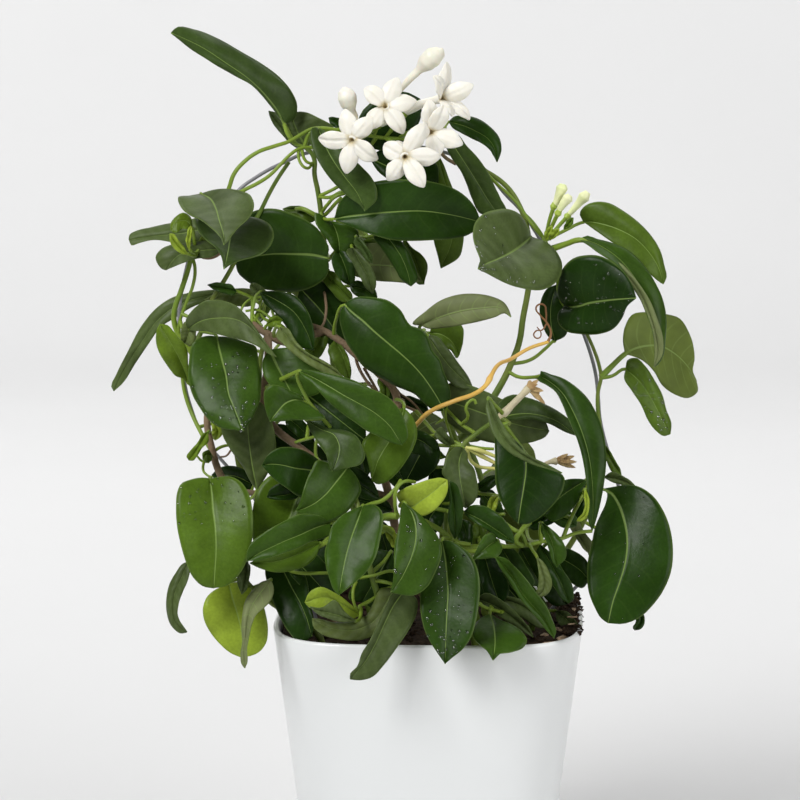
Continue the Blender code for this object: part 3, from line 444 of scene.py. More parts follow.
peat_finish = plain_finish("peat_finish", (0.016, 0.010, 0.006), 0.95, scale=240.0, spread=0.5, bump=1.0,
                           bump_scale=900.0, second=(0.042, 0.026, 0.015), patches=330.0, Specular_IOR_Level=0.1)
chip_finish = plain_finish("chip_finish", (0.50, 0.38, 0.25), 0.85, scale=300.0, spread=0.3, bump=0.6,
                           second=(0.26, 0.15, 0.085), patches=200.0)
print("finishes:", len(bpy.data.materials))

# %% [markdown]
# Petals are thick and waxy. Light goes a little way into them, so they get some subsurface, and the foot of each
# lobe is tinted by the throat. Dew is clear water, with full transmission.

# %% Petals and dew
PETAL_IVORY = (0.83, 0.80, 0.715, 1.0)
PETAL_THROAT = (0.52, 0.42, 0.20, 1.0)
CREASE_DEPTH = 0.0008


def make_petal_skin():
    made, tree, shader = new_material("petal_skin", Subsurface_Weight=0.18, Subsurface_Scale=0.003,
                                      Roughness=0.42, Specular_IOR_Level=0.4)
    shader.inputs["Subsurface Radius"].default_value = (1.0, 0.8, 0.5)
    lay = add_node(tree, "ShaderNodeAttribute", attribute_name="lay")
    parts = add_node(tree, "ShaderNodeSeparateXYZ", {"Vector": lay.outputs["Vector"]})
    foot = band(tree, parts.outputs["Y"], 0.0, 0.20, 0.80, 0.0)
    colour = blend_colours(tree, foot, PETAL_IVORY, PETAL_THROAT)
    colour = blend_colours(tree, 1.0, colour, mottle(tree, 90.0, 0.95, 1.04), blend="MULTIPLY")
    tree.links.new(colour, shader.inputs["Base Color"])
    crease = band(tree, sums(tree, "ABSOLUTE", parts.outputs["X"]), 0.0, 0.30)
    bump = add_bump(tree, crease, 0.5, CREASE_DEPTH)
    bump = add_bump(tree, mottle(tree, 260.0, 0.0, 1.0), 0.25, RELIEF_DEPTH, bump)
    tree.links.new(bump, shader.inputs["Normal"])
    return made


petal_skin = make_petal_skin()
dew_water, _, _ = new_material("dew_water", Base_Color=(0.96, 0.98, 0.97, 1.0), Roughness=0.02, IOR=1.50,
                               Transmission_Weight=1.0, Coat_Weight=1.0, Coat_Roughness=0.03)
print("all finishes:", len(bpy.data.materials))

# %% [markdown]
# ## One leaf, modelled once
#
# A leaf starts as a flat grid, two wide and two long. Each crosswise row is scaled to the leaf's half width there,
# which draws the outline. Two outlines serve the leaves, the usual oval and a rounder small one, and a petal is
# made the same way. The drawn leaves further down start from a finer oval. A blank also stores `lay`: how far
# across and along each point is, and how near the margin, before anything is bent.

# %% Outlines and blanks
LEAF_OUTLINES = {
    "oval": ((0.0, 0.09), (0.025, 0.25), (0.07, 0.50), (0.15, 0.76), (0.27, 0.93), (0.42, 1.0), (0.58, 0.98),
             (0.72, 0.86), (0.84, 0.66), (0.92, 0.43), (0.965, 0.20), (0.985, 0.07), (1.0, 0.015)),
    "small": ((0.0, 0.10), (0.03, 0.30), (0.09, 0.58), (0.20, 0.85), (0.36, 0.99), (0.54, 0.99), (0.72, 0.82),
              (0.86, 0.54), (0.94, 0.28), (0.98, 0.09), (1.0, 0.015)),
    "petal": ((0.0, 0.46), (0.12, 0.66), (0.30, 0.90), (0.45, 1.0), (0.60, 0.97), (0.75, 0.80), (0.87, 0.55),
              (0.95, 0.28), (1.0, 0.05)),
}


def outline_at(outline, share):
    """The half width of an outline at a share of its length."""
    shares, halves = zip(*LEAF_OUTLINES[outline])
    return float(np.interp(share, shares, halves))


def make_blank(outline, across, along):
    """A flat leaf in that outline: two long and two wide, with its heel at y = -1."""
    blank = new_shape(f"blank_{outline}", bpy.ops.mesh.primitive_grid_add, x_subdivisions=across,
                      y_subdivisions=along, size=2.0)
    mesh = blank.data
    edge = [abs(vertex.co.x) for vertex in mesh.vertices]
    rows = sorted({round(vertex.co.y, 4) for vertex in mesh.vertices})
    for row in rows:
        bpy.ops.object.mode_set(mode="EDIT")
        bpy.ops.mesh.select_all(action="DESELECT")
        bpy.ops.object.mode_set(mode="OBJECT")
        for vertex in mesh.vertices:
            vertex.select = abs(vertex.co.y - row) < 0.001
        bpy.ops.object.mode_set(mode="EDIT")
        bpy.ops.transform.resize(value=(outline_at(outline, (row + 1) / 2), 1.0, 1.0))
        bpy.ops.object.mode_set(mode="OBJECT")
    lay = mesh.attributes.new("lay", "FLOAT_VECTOR", "POINT")
    for index, vertex in enumerate(mesh.vertices):
        lay.data[index].vector = (vertex.co.x, (vertex.co.y + 1) / 2, edge[index])
    blank.hide_render = True
    return blank


# each blank's outline and the number of its points across and along
BLANK_GRIDS = {"oval": ("oval", 10, 22), "small": ("small", 10, 22), "petal": ("petal", 8, 12),
               "drawn": ("oval", 14, 38)}
BLANKS = {name: make_blank(*grid) for name, grid in BLANK_GRIDS.items()}
for name, blank in BLANKS.items():
    print("blank", name, len(blank.data.vertices), "points")

# %% [markdown]
# ## Laying a leaf in space
#
# On the plant no leaf is flat. Its midrib arches, its two halves fold up from the midrib, the margins curl back
# and wave a little, and the tip may hook. A bend tool needs a window, so `lay_leaf` does it by sums: every point
# of the copied blank keeps its share along and across, and is carried to the bent midrib with a frame that turns
# along it. It serves the half-hidden leaves, the petals and the dry strips.

# %% The laying function
# each look's lightness, greyness and freshness; the lightness is partly painted light and shade, the greyness
# partly painted sheen
TONES = {
    "dark": (0.10, 0.02, 0.0),
    "deep": (0.28, 0.05, 0.0),
    "mid": (0.55, 0.08, 0.02),
    "bright": (0.85, 0.05, 0.14),
    "grey": (0.45, 0.62, 0.0),
    "slate": (0.12, 0.48, 0.0),
    "fresh": (1.0, 0.0, 0.32),
    "new": (0.90, 0.0, 0.78),
    "lime": (1.0, 0.0, 1.0),
    "olive": (0.70, 0.15, 0.14),
    "pale": (0.60, 0.90, 0.10),
    "ashen": (0.20, 0.60, 0.0),
    "dusky": (0.35, 0.30, 0.0),
}


HOOK_FROM = 0.62


def set_tone(mesh, look, draw):
    """Writes a blade's tone, a little lighter or darker than its look."""
    light, grey, fresh = TONES[look]
    jitter = draw.uniform(-0.06, 0.06)
    shade = (max(light + jitter, 0.0), max(grey + jitter * 0.5, 0.0), fresh, 1.0)
    tone = mesh.attributes.new("tone", "FLOAT_COLOR", "POINT")
    tone.data.foreach_set("color", shade * len(mesh.vertices))
    mesh.update()


def lay_leaf(name, blank, heel, tip, face, wide, bow=0.0, arch=0.0, fold=0.0, look="mid", curl=0.10, wave=0.04,
             hook=0.0, twist=0.0):
    """A copy of a blank, carried to its place. Lengths of bends are in millimetres and turns in degrees."""
    copy = copied(blank, name)
    count = len(copy.data.vertices)
    flat = np.empty(count * 3)
    copy.data.vertices.foreach_get("co", flat)
    flat = flat.reshape(count, 3)
    share = (flat[:, 1] + 1) / 2
    aside = flat[:, 0]
    draw = random.Random(name + "0")

    span = tip - heel
    along = span.normalized()
    towards = (face - along * face.dot(along)).normalized()
    side = along.cross(towards)
    span, towards, side = (np.array(v) for v in (span, towards, side))

    def midrib(at):
        bend = 4 * at * (1 - at) * MM
        drop = hook * MM * np.clip((at - HOOK_FROM) / (1 - HOOK_FROM), 0, 1) ** 2
        return (np.array(heel) + np.outer(at, span) + np.outer(bow * bend, side)
                + np.outer(arch * bend - drop, towards))

    centre = midrib(share)
    tangent = midrib(share + 0.01) - midrib(share - 0.01)
    tangent /= np.linalg.norm(tangent, axis=1)[:, None]
    angle = np.radians(twist * (share - 0.5))
    across = np.outer(np.cos(angle), side) + np.outer(np.sin(angle), towards)
    across -= tangent * np.sum(across * tangent, axis=1)[:, None]
    across /= np.linalg.norm(across, axis=1)[:, None]
    normal = np.cross(across, tangent)

    half = wide * MM / 2
    reach = aside * half
    lift = math.radians(fold)
    bent = np.abs(aside)
    rise = np.abs(reach) * math.sin(lift) - curl * half * bent ** 2
    ripple = np.sin(2 * math.pi * (share * draw.uniform(1.6, 2.6) + draw.random() + 0.35 * np.sign(aside)))
    rise += wave * half * ripple * bent ** 2
    place = centre + across * (reach * math.cos(lift))[:, None] + normal * rise[:, None]
    copy.data.vertices.foreach_set("co", place.ravel())
    set_tone(copy.data, look, draw)
    return copy


# %% [markdown]
# The leaves that show their whole face are drawn more closely: the midrib and both margins are each a smooth line
# through a few points, in columns and rows, as a botanical draughtsman would sketch them. The look and the depths
# of heel and tip come first, and a leaf may have habits, in millimetres:
#
# - `back`: how far each margin lies behind the midrib, so a negative number folds that half up to the eye
# - `arch`, `puff`, `hook` and `wave`: how far the midrib rises, the halves swell, the tip drops back and the
#   margin waves
# - `flip`: the blade shows its underside
# - `dew`: how many drops lie on it, and between which shares of its length
# - `root`, `via`, `free` and `thick`: the stalk starts on the stem near the root, or at the root itself if it is
#   free, passes by points of its own, and may be thicker; with None for a root there is no stalk

# %% Leaves from three drawn lines
USUAL_ARCH = 3.0
USUAL_BACK = (-1.5, -1.5)
DRAWN_HOOK_FROM = 0.7


def line_of(text):
    """The columns and rows of a drawn line."""
    return [tuple(float(number) for number in pair.split()) for pair in text.split(",")]


def leaf(look, near, far, rib, side_a, side_b, **habit):
    """A leaf drawn by its midrib and its margins, with the depths of its heel and tip in millimetres."""
    ends = line_of(rib)
    lines = [ends] + [[ends[0], *line_of(side), ends[-1]] for side in (side_a, side_b)]
    return {"look": look, "depths": (near, far), "lines": lines, "habit": habit}


def smooth_line(knots, shares):
    """Points at shares of the length of a smooth line through the knots."""
    knots = np.array(knots)
    steps = np.linalg.norm(np.diff(knots, axis=0), axis=1)
    at = np.concatenate([[0.0], np.cumsum(steps)])
    at /= at[-1]
    slopes = np.gradient(knots, at, axis=0)
    index = np.clip(np.searchsorted(at, shares, side="right") - 1, 0, len(steps) - 1)
    gap = at[index + 1] - at[index]
    t = ((shares - at[index]) / gap)[:, None]
    gap = gap[:, None]
    return (knots[index] * (1 + 2 * t) * (1 - t) ** 2 + slopes[index] * gap * t * (1 - t) ** 2
            + knots[index + 1] * t ** 2 * (3 - 2 * t) - slopes[index + 1] * gap * t ** 2 * (1 - t))


def lay_drawn(name, drawn):
    """A copy of the fine blank, carried to a drawn leaf's place."""
    copy = copied(BLANKS["drawn"], name)
    mesh = copy.data
    count = len(mesh.vertices)
    lay = np.empty(count * 3)
    mesh.attributes["lay"].data.foreach_get("vector", lay)
    lay = lay.reshape(count, 3)
    share, edge = lay[:, 1], lay[:, 2]
    right = lay[:, 0] > 0
    draw = random.Random(name)
    habit = drawn["habit"]

    rib, side_a, side_b = (smooth_line(line, share) for line in drawn["lines"])
    heading = np.array(drawn["lines"][0][-1]) - np.array(drawn["lines"][0][0])
    rightward = np.array((-heading[1], heading[0]))
    a_is_right = (side_a.mean(axis=0) - rib.mean(axis=0)) @ rightward > 0
    on_a = right if a_is_right else ~right
    margin = np.where(on_a[:, None], side_a, side_b)
    flat = rib + (margin - rib) * edge[:, None]

    near, far = drawn["depths"]
    back_a, back_b = habit.get("back", USUAL_BACK)
    swell = 4 * share * (1 - share)
    depth = near + (far - near) * share - habit.get("arch", USUAL_ARCH) * swell
    depth += np.where(on_a, back_a, back_b) * np.sqrt(swell) * edge ** 1.3
    depth -= habit.get("puff", 1.0) * np.sqrt(swell) * 4 * edge * (1 - edge)
    depth += habit.get("hook", 0.0) * np.clip((share - DRAWN_HOOK_FROM) / (1 - DRAWN_HOOK_FROM), 0, 1) ** 2
    ripple = np.sin(2 * math.pi * (share * draw.uniform(1.8, 3.0) + draw.random() + 0.35 * on_a))
    depth += habit.get("wave", 0.8) * ripple * np.sqrt(swell) * edge ** 2
    places = [spot(column, row, deep) for (column, row), deep in zip(flat, depth)]
    mesh.vertices.foreach_set("co", np.array(places).ravel())

    half = np.linalg.norm(margin - rib, axis=1)
    lay[:, 0] = np.where(right, 1.0, -1.0) * edge * half / max(half.max(), 1.0)
    mesh.attributes["lay"].data.foreach_set("vector", lay.ravel())
    if habit.get("flip"):
        mesh.flip_normals()
    set_tone(mesh, drawn["look"], draw)
    return copy


# %% [markdown]
# ## Stems and leaf stalks
#
# Stems are round and bend smoothly, so they are curves with a bevel and a radius at each point, turned into a
# mesh. One curve object may hold many splines, which makes all the leaf stalks of a shoot in one go. Where a pair
# of leaves sits, a real stem has a swollen node.

# %% Tubes from curves
def make_tubes(name, courses, finish, sides=8, steps=4):
    """Round tubes, each given as points with a radius. They are smooth, capped and one mesh."""
    curve = bpy.data.curves.new(name, "CURVE")
    curve.dimensions = "3D"
    curve.bevel_depth = 1.0
    curve.bevel_resolution = sides // 2 - 2
    curve.resolution_u = steps
    curve.render_resolution_u = 0
    curve.use_fill_caps = True
    for points, radii in courses:
        spline = curve.splines.new("BEZIER")
        spline.bezier_points.add(len(points) - 1)
        for knot, point, radius in zip(spline.bezier_points, points, radii):
            knot.co = point
            knot.radius = radius
            knot.handle_left_type = "AUTO"
            knot.handle_right_type = "AUTO"
    thing = bpy.data.objects.new(name, curve)
    bpy.context.scene.collection.objects.link(thing)
    alone(thing)
    bpy.ops.object.convert(target="MESH")
    thing = bpy.context.object
    dressed(thing, finish)
    smoothed(thing)
    return thing


def tapered(count, first, last, power=1.0):
    """Radii in metres from the first to the last, both in millimetres. A higher power slims it sooner."""
    return [(last + (first - last) * (1 - i / max(count - 1, 1)) ** power) * MM for i in range(count)]


# %% [markdown]
# Every stem and both ends of the wire stand in the soil, so the soil's height comes first: nearly level, with a
# mound at the right front, and banked up towards the pot's sides and back.

# %% The soil's height, and the courses of stems
SOIL_TOP = 0.1535
MOUND_AT = (0.062, -0.050)
MOUND_HEIGHT = 0.0075
MOUND_REACH = 0.024
BANK_HEIGHT = 0.0100
SOIL_HALF = 0.0800
SOIL_RIPPLE = 0.0008
ROOT_DEPTH = 0.020
STEM_CLEAR = 0.004


def ease(value, start, end):
    """A smooth step from 0 at the start to 1 at the end."""
    share = min(max((value - start) / (end - start), 0.0), 1.0)
    return share * share * (3 - 2 * share)


def soil_height(x, y):
    """The soil's top over a point of the plan."""
    far = ((x - MOUND_AT[0]) ** 2 + (y - MOUND_AT[1]) ** 2) / MOUND_REACH ** 2
    ripple = SOIL_RIPPLE * math.sin(x * 140.0) * math.cos(y * 120.0)
    bank = ease(max(abs(x), y) / SOIL_HALF, 0.80, 0.96) * ease(y, -0.078 if x < 0 else -0.070, -0.050)
    return SOIL_TOP + max(MOUND_HEIGHT * math.exp(-far), BANK_HEIGHT * bank) + ripple


def foot_points(place):
    """The straight foot of a stem: from inside the soil to just above it."""
    x, y = place[0] * MM, place[1] * MM
    top = soil_height(x, y)
    return [Vector((x, y, top - ROOT_DEPTH)), Vector((x, y, top + STEM_CLEAR))]


def stem_course(stem):
    """A stem's points in space, from its foot in the soil if it has one."""
    foot, _, _, spots = stem[:4]
    points = [spot(*where) for where in spots]
    return foot_points(foot) + points if foot else points


def nearest_on(target, courses):
    """The nearest point on the stems to a point, with its distance."""
    best = None
    for course in courses:
        for first, second in zip(course, course[1:]):
            step = second - first
            share = max(0.0, min(1.0, (target - first).dot(step) / step.length_squared))
            place = first + step * share
            gap = (target - place).length
            if best is None or gap < best[1]:
                best = (place, gap)
    return best


# %% [markdown]
# ## How a shoot is built
#
# It is the same few steps each time. The leaves are copies of the blanks, joined, given their thickness by
# Solidify, which also puts the underside's finish on the back, and smoothed. The stems and the leaf stalks are
# tubes. A stalk starts inside its stem, swings to the leaf's heel and runs on a little under the blade, where it
# becomes the midrib.

# %% Leaf stalks
STALK_RADIUS = 0.00090
STALK_SHORTEST = 0.005
STALK_SWING = 0.12
STALK_SAG = 0.06
STALK_UNDER = 0.0004
SIMPLE_STALK_RADII = (1.25, 1.0, 0.95, 0.80, 0.35)


def stalk_middle(root, heel, along):
    """The middle of a stalk: back along the leaf and down, by shares of the stalk's reach."""
    reach = (heel - root).length
    return (root + heel) / 2 - along * reach * STALK_SWING + Vector((0, 0, -STALK_SAG * reach))


def simple_stalk(heel, tip, root, towards):
    """The stalk of a simple leaf: from inside the stem to the heel, and a little way along under the blade."""
    along = (tip - heel).normalized()
    under = -towards * STALK_UNDER
    points = [root, stalk_middle(root, heel, along), heel + under, heel + along * 0.004 + under,
              heel + (tip - heel) * 0.16 + under]
    return points, [STALK_RADIUS * share for share in SIMPLE_STALK_RADII]


def drawn_stalk(drawn, root):
    """The stalk of a drawn leaf: from inside the stem to the heel, and on along the back of its midrib."""
    near, far = drawn["depths"]
    habit = drawn["habit"]
    arch = habit.get("arch", USUAL_ARCH)
    shares = (0.0, 0.05, 0.12)
    inner = [spot(column, row, near + (far - near) * share - arch * 4 * share * (1 - share) + 0.5)
             for share, (column, row) in zip(shares, smooth_line(drawn["lines"][0], np.array(shares)))]
    along = (inner[1] - inner[0]).normalized()
    middle = [spot(*where) for where in habit.get("via", ())] or [stalk_middle(root, inner[0], along)]
    thick = STALK_RADIUS * habit.get("thick", 1.0)
    radii = [thick * share for share in (1.3, *[1.05] * len(middle), 1.0, 0.75, 0.3)]
    return [root, *middle, *inner], radii


# %% Drops of dew
DEW = []
DEW_SIZES = (0.25, 0.3, 0.4, 0.5, 0.7, 0.95)
DEW_TRIES = 30
LEAF_THICK = 0.0007


def wet_blade(blade, count, low, high):
    """Notes places for dew drops on a blade, between two shares of its length."""
    mesh = blade.data
    draw = random.Random(blade.name + "dew")
    lay = mesh.attributes["lay"].data
    for _ in range(count):
        for _ in range(DEW_TRIES):
            face = mesh.polygons[draw.randrange(len(mesh.polygons))]
            share = lay[face.vertices[0]].vector.y
            if low <= share <= high and lay[face.vertices[0]].vector.z < 0.9:
                break
        size = draw.choice(DEW_SIZES) * MM
        DEW.append((face.center + face.normal * (LEAF_THICK / 2), face.normal.copy(), size))


# %% Growing one shoot
OLD_TAPER = 1.6
GREEN_FROM = 1.5


def simple_leaf(look, heel, tip, wide, outline="small", face=None, **bends):
    """A leaf from a blank, with the spots of its heel and tip, its width in millimetres and its bends."""
    return {"look": look, "heel": heel, "tip": tip, "wide": wide, "outline": outline, "face": face,
            "bends": bends}


def leaf_face(heel, tip):
    """The direction from a leaf to the eye."""
    return (EYE - (heel + tip) / 2).normalized()


def grow_simple(name, entry, courses):
    """Lays a leaf from a blank. Gives the blade and its one stalk."""
    heel, tip = spot(*entry["heel"]), spot(*entry["tip"])
    root, gap = nearest_on(heel, courses)
    if gap < STALK_SHORTEST:
        heel = root + (tip - root).normalized() * STALK_SHORTEST
    face = leaf_face(heel, tip) if entry["face"] is None else entry["face"]
    blade = lay_leaf(name, BLANKS[entry["outline"]], heel, tip, face, entry["wide"], look=entry["look"],
                     **entry["bends"])
    return blade, [simple_stalk(heel, tip, root, face)]


def grow_drawn(name, entry, courses):
    """Lays a drawn leaf and notes its dew. Gives the blade and its stalk, if it has one."""
    blade = lay_drawn(name, entry)
    habit = entry["habit"]
    if "dew" in habit:
        wet_blade(blade, *habit["dew"])
    aim = habit.get("root", (*entry["lines"][0][0], entry["depths"][0]))
    if not aim:
        return blade, []
    root = spot(*aim) if habit.get("free") else nearest_on(spot(*aim), courses)[0]
    return blade, [drawn_stalk(entry, root)]


def clothe_blades(name, blades):
    """Joins the laid blades into one object with thickness, two finishes and smooth faces."""
    whole = merged(name, blades)
    dressed(whole, leaf_top, leaf_under)
    apply_modifier(whole, "SOLIDIFY", thickness=LEAF_THICK, offset=0.0, material_offset=1, material_offset_rim=0,
                   use_even_offset=False)
    smoothed(whole)
    return whole


def make_stem(name, stem, points):
    """The tubes of one stem: old wood up to a point of its course, if it says so, and green from there."""
    _, first, last, spots, *old = stem
    radii = tapered(len(points), first, last, OLD_TAPER)
    woody = len(points) - len(spots) + old[0] if old else 0
    rods = []
    if woody:
        rods.append(make_tubes(f"{name}_wood", [(points[:woody], radii[:woody])], old_stem, sides=12, steps=6))
        points, radii = points[woody - 1:], radii[woody - 1:]
    if len(points) > 1:
        finish = green_stem if first >= GREEN_FROM and not woody else young_stem
        rods.append(make_tubes(f"{name}_stem", [(points, radii)], finish, sides=10, steps=5))
    return rods


def grow_shoot(name, stems, entries):
    """All the leaves, stems and stalks of one shoot, as two pieces."""
    courses = [stem_course(stem) for stem in stems]
    blades, stalks = [], []
    for number, entry in enumerate(entries, 1):
        grow = grow_drawn if "lines" in entry else grow_simple
        blade, its_stalks = grow(f"{name}_leaf_{number}", entry, courses)
        blades.append(blade)
        stalks += its_stalks
    leaves = clothe_blades(f"{name}_leaves", blades)
    finished(leaves, "leaf_green", name)
    rods = [rod for stem, points in zip(stems, courses) for rod in make_stem(name, stem, points)]
    rods = merged(f"{name}_stems", [*rods, make_tubes(f"{name}_stalks", stalks, young_stem)])
    finished(rods, "leaf_green", name)
    print(name, len(blades), "leaves,", len(leaves.data.polygons) + len(rods.data.polygons), "faces")


# %% [markdown]
# ## The shoots that show from the front
#
# Each shoot is one climbing stem with its side stems and its leaves, in the order of the plain model's nodes. A
# stem has its foot in the soil (or none, if it grows from another), its radius at both ends in millimetres, its
# course, and how many of its points are old wood. Nearly all leaves are drawn. The last ones of a shoot are small
# growth that the plain model leaves out.

# %% The list of stems
STEMS = {}

# %% [markdown]
# The left shoot. It climbs outside the wire on the left and bends over along the top. Its large leaves hang
# outwards, and small new growth sits between them.

# %% The left shoot
STEMS["vine_left"] = [
    ((-52, -6), 2.3, 1.0, [
        (280, 560, -12), (246, 510, -18), (222, 478, -22), (211, 445, -22), (207, 421, -20),
        (209, 400, -16), (204, 375, -12), (190, 350, -9), (179, 335, -8), (174, 320, -8), (175, 308, -8),
        (181, 291, -8), (188, 270, -8), (192, 256, -8), (203, 238, -10), (222, 205, -14), (229, 188, -15),
        (234, 174, -15), (244, 162, -14), (258, 152, -13), (275, 146, -11), (290, 141, -9), (302, 134, -7),
        (312, 129, -6), (324, 128, -6)], 7),
    (None, 1.5, 1.1, [
        (190, 350, -9), (197, 340, -4), (206, 320, -2), (212, 300, -2), (219, 289, -2),
        (233, 265, -2), (246, 237, -2), (261, 210, -2), (270, 192, -3), (280, 175, -4), (289, 162, -5)]),
    (None, 1.2, 0.9, [
        (228, 190, -15), (240, 192, -13), (246, 189, -12), (258, 183, -11), (270, 175, -10),
        (281, 164, -9), (291, 154, -8), (301, 148, -6), (312, 147, -5)]),
    (None, 1.0, 0.9, [(192, 256, -8), (195, 268, -9), (193, 285, -10), (187, 301, -11), (182, 314, -11),
                      (179, 326, -10), (179, 336, -8)]),
    (None, 1.2, 1.1, [(212, 452, -22), (204, 438, -14), (193, 416, -6), (186, 397, -2), (183, 382, -2),
                      (182, 362, -4), (179, 336, -8)]),
]
grow_shoot("vine_left", STEMS["vine_left"], [
    leaf("grey", -6, -62, "201 194, 211 200, 216 209, 219 220, 223 234, 224 245",
         "190 196, 178 198, 181 207, 190 215, 201 220, 209 226, 216 232, 222 240",
         "214 190, 227 189, 240 191, 251 196, 254 204, 252 213, 247 220, 240 226, 233 234, 228 241", arch=5),
    leaf("dusky", -3, -50, "228 212, 231 228, 229 246, 224 269",
         "205 214, 195 219, 197 229, 205 239, 215 247, 222 257",
         "250 217, 262 220, 271 226, 274 234, 272 243, 266 251, 254 257, 242 260, 232 264", back=(2, -1)),
    leaf("grey", -6, -2, "212 226, 190 232, 160 236, 129 240",
         "200 218, 185 222, 168 224, 150 228, 137 231, 130 235",
         "210 246, 194 248, 172 242, 150 240, 138 243, 131 245", back=(5, -5), arch=1),
    leaf("grey", -14, -19, "222 250, 198 251, 178 256, 166 270",
         "212 242, 190 243, 172 245, 162 249, 156 257, 158 264, 163 269", "214 256, 196 259, 180 264, 171 268",
         back=(4, -4), arch=1),
    leaf("grey", 18, 19, "250 295, 225 293, 203 297, 180 304, 160 318, 140 345, 122 374, 114 391",
         "235 289, 215 290, 190 293, 170 299, 157 308, 142 326, 128 352, 117 374, 112 388",
         "238 300, 218 298, 205 302, 190 308, 176 317, 162 326, 149 343, 136 362, 122 384", back=(2, -1.5),
         free=True, root=(254, 322, -22), via=[(262, 306, -2)]),
    leaf("grey", -24, -60, "188 330, 197 323, 208 319, 218 318, 230 318, 241 321, 250 327, 258 335, 276 357",
         "186 320, 190 313, 197 306, 205 301, 213 300, 224 301, 235 305, 245 314, 253 325, 262 338, 270 349",
         "194 331, 205 331, 220 335, 237 339, 250 343, 262 349, 269 354", back=(1, -3), arch=6),
    leaf("mid", -24, -60, "217 337, 219 348, 222 360, 226 375, 229 395, 235 410, 243 431",
         "208 336, 200 338, 193 343, 190 352, 189 362, 188 375, 190 387, 194 398, 200 408, 207 418, 215 425, "
         "225 429, 236 430",
         "225 337, 235 339, 247 343, 256 347, 258 356, 259 365, 261 375, 261 388, 260 400, 256 410, 251 420, "
         "246 427", back=(0.8, 4), dew=(120, 0.25, 1.0)),
    leaf("fresh", -18, -30, "188 383, 185 372, 181 362, 175 350, 168 338, 160 324",
         "182 378, 176 376, 170 369, 165 362, 160 354, 157 346, 156 336, 157 329",
         "189 375, 188 362, 187 350, 184 343, 179 338, 174 332, 167 325"),
    leaf("ashen", -42, -34, "257 490, 253 470, 250 450, 248 430, 247 405",
         "250 480, 244 468, 236 457, 229 447, 223 436, 221 424, 224 410, 234 400",
         "263 481, 269 471, 274 460, 276 449, 275 435, 272 422, 267 410, 258 401", back=(1, -1)),
    # small growth that the plain model leaves out
    leaf("pale", -20, -22, "196 322, 190 330, 185 343", "189 320, 183 324, 181 335, 182 342",
         "196 330, 195 340, 190 346"),
    leaf("fresh", -20, -24, "192 228, 186 221, 179 221, 171 231", "190 217, 183 213, 176 217, 171 224",
         "189 229, 182 229, 176 233", root=(193, 250, -8), via=[(194, 238, -18)], arch=0, puff=0.4,
         back=(2.5, -2)),
    leaf("new", -32, -36, "188 254, 182 250, 176 243, 170 234", "185 249, 179 241, 173 234",
         "183 254, 175 249, 170 241", arch=1),
    leaf("lime", -34, -38, "190 250, 188 243, 189 236, 191 226", "188 247, 186 241, 187 235, 189 228",
         "190 245, 191 238, 192 230", arch=1),
    leaf("fresh", -30, -34, "208 432, 202 440, 197 449, 189 460", "203 434, 197 444, 190 451, 187 457",
         "208 442, 201 449, 197 456, 194 460"),
    leaf("grey", -2, -2, "265 299, 258 292, 251 284", "260 298, 252 291, 250 286", "267 293, 262 287, 255 283",
         root=(254, 322, -22), free=True),
    leaf("bright", -24, -26, "212 456, 207 453, 203 459", "208 450, 203 453", "211 461, 206 462"),
    leaf("new", -6, -4, "212 424, 218 430, 215 440", "220 424, 223 431, 219 438", "212 430, 211 436"),
    leaf("dark", -8, -4, "252 484, 235 476, 212 475", "245 470, 232 466, 219 468", "248 494, 232 491, 218 484"),
    leaf("deep", -4, -2, "236 291, 222 288, 208 285", "233 286, 222 283, 213 283", "234 295, 226 294, 215 290",
         root=(254, 322, -22), free=True, via=[(260, 304, -6)]),
    leaf("olive", -4, 4, "254 324, 262 314, 269 301", "255 314, 260 306, 266 301", "260 322, 268 314, 271 306",
         root=(254, 324, -20), free=True),
    leaf("pale", 8, 12, "264 296, 240 294, 205 300", "250 289, 232 289, 216 293", "250 306, 235 306, 216 305",
         root=(254, 322, -22), free=True, via=[(264, 304, -4)]),
])

# %% [markdown]
# The low left shoot. It leans out of the pot on the left, and its last leaves hang over the rim.

# %% The low left shoot
STEMS["vine_low_left"] = [
    ((-60, -34), 2.2, 1.2, [
        (274, 604, -40), (262, 595, -46), (248, 584, -48), (238, 560, -46), (226, 520, -46),
        (214, 490, -46), (210, 478, -48)]),
]
grow_shoot("vine_low_left", STEMS["vine_low_left"], [
    leaf("bright", -56, -80, "210 479, 212 495, 213 510, 215 525, 216 540, 216 555, 215 570, 214 588",
         "204 478, 190 480, 181 484, 177 493, 176 506, 177 525, 181 545, 186 562, 193 577, 203 586",
         "220 477, 232 477, 241 482, 248 492, 252 508, 253 525, 252 541, 247 560, 238 576, 226 586", arch=6,
         back=(-0.5, -3), dew=(46, 0.0, 0.45)),
    leaf("grey", -40, -46, "188 562, 182 577, 175 593, 173 608, 176 622, 187 632",
         "183 564, 176 573, 170 584, 167 597, 167 611, 172 626, 181 633",
         "190 570, 187 582, 182 594, 178 606, 178 616, 183 626", back=(2, -3)),
    leaf("new", -50, -64, "229 584, 233 600, 238 616, 242 636, 241 657",
         "219 588, 207 597, 203 608, 204 619, 209 630, 219 643, 231 653",
         "240 582, 252 590, 262 602, 266 615, 268 630, 266 643, 259 652, 250 656", back=(-1, -2)),
    leaf("pale", -62, -86, "271 580, 261 592, 253 604, 248 618, 246 636, 244 652, 245 668",
         "262 582, 253 590, 246 600, 243 613, 242 628, 243 642, 241 655, 242 664",
         "274 590, 271 600, 264 608, 257 614, 252 624, 249 636, 247 650, 247 664", back=(2, -3), flip=True),
    leaf("slate", -58, -66, "247 562, 245 577, 242 594", "239 566, 237 577, 239 588",
         "250 566, 249 578, 246 590"),
])

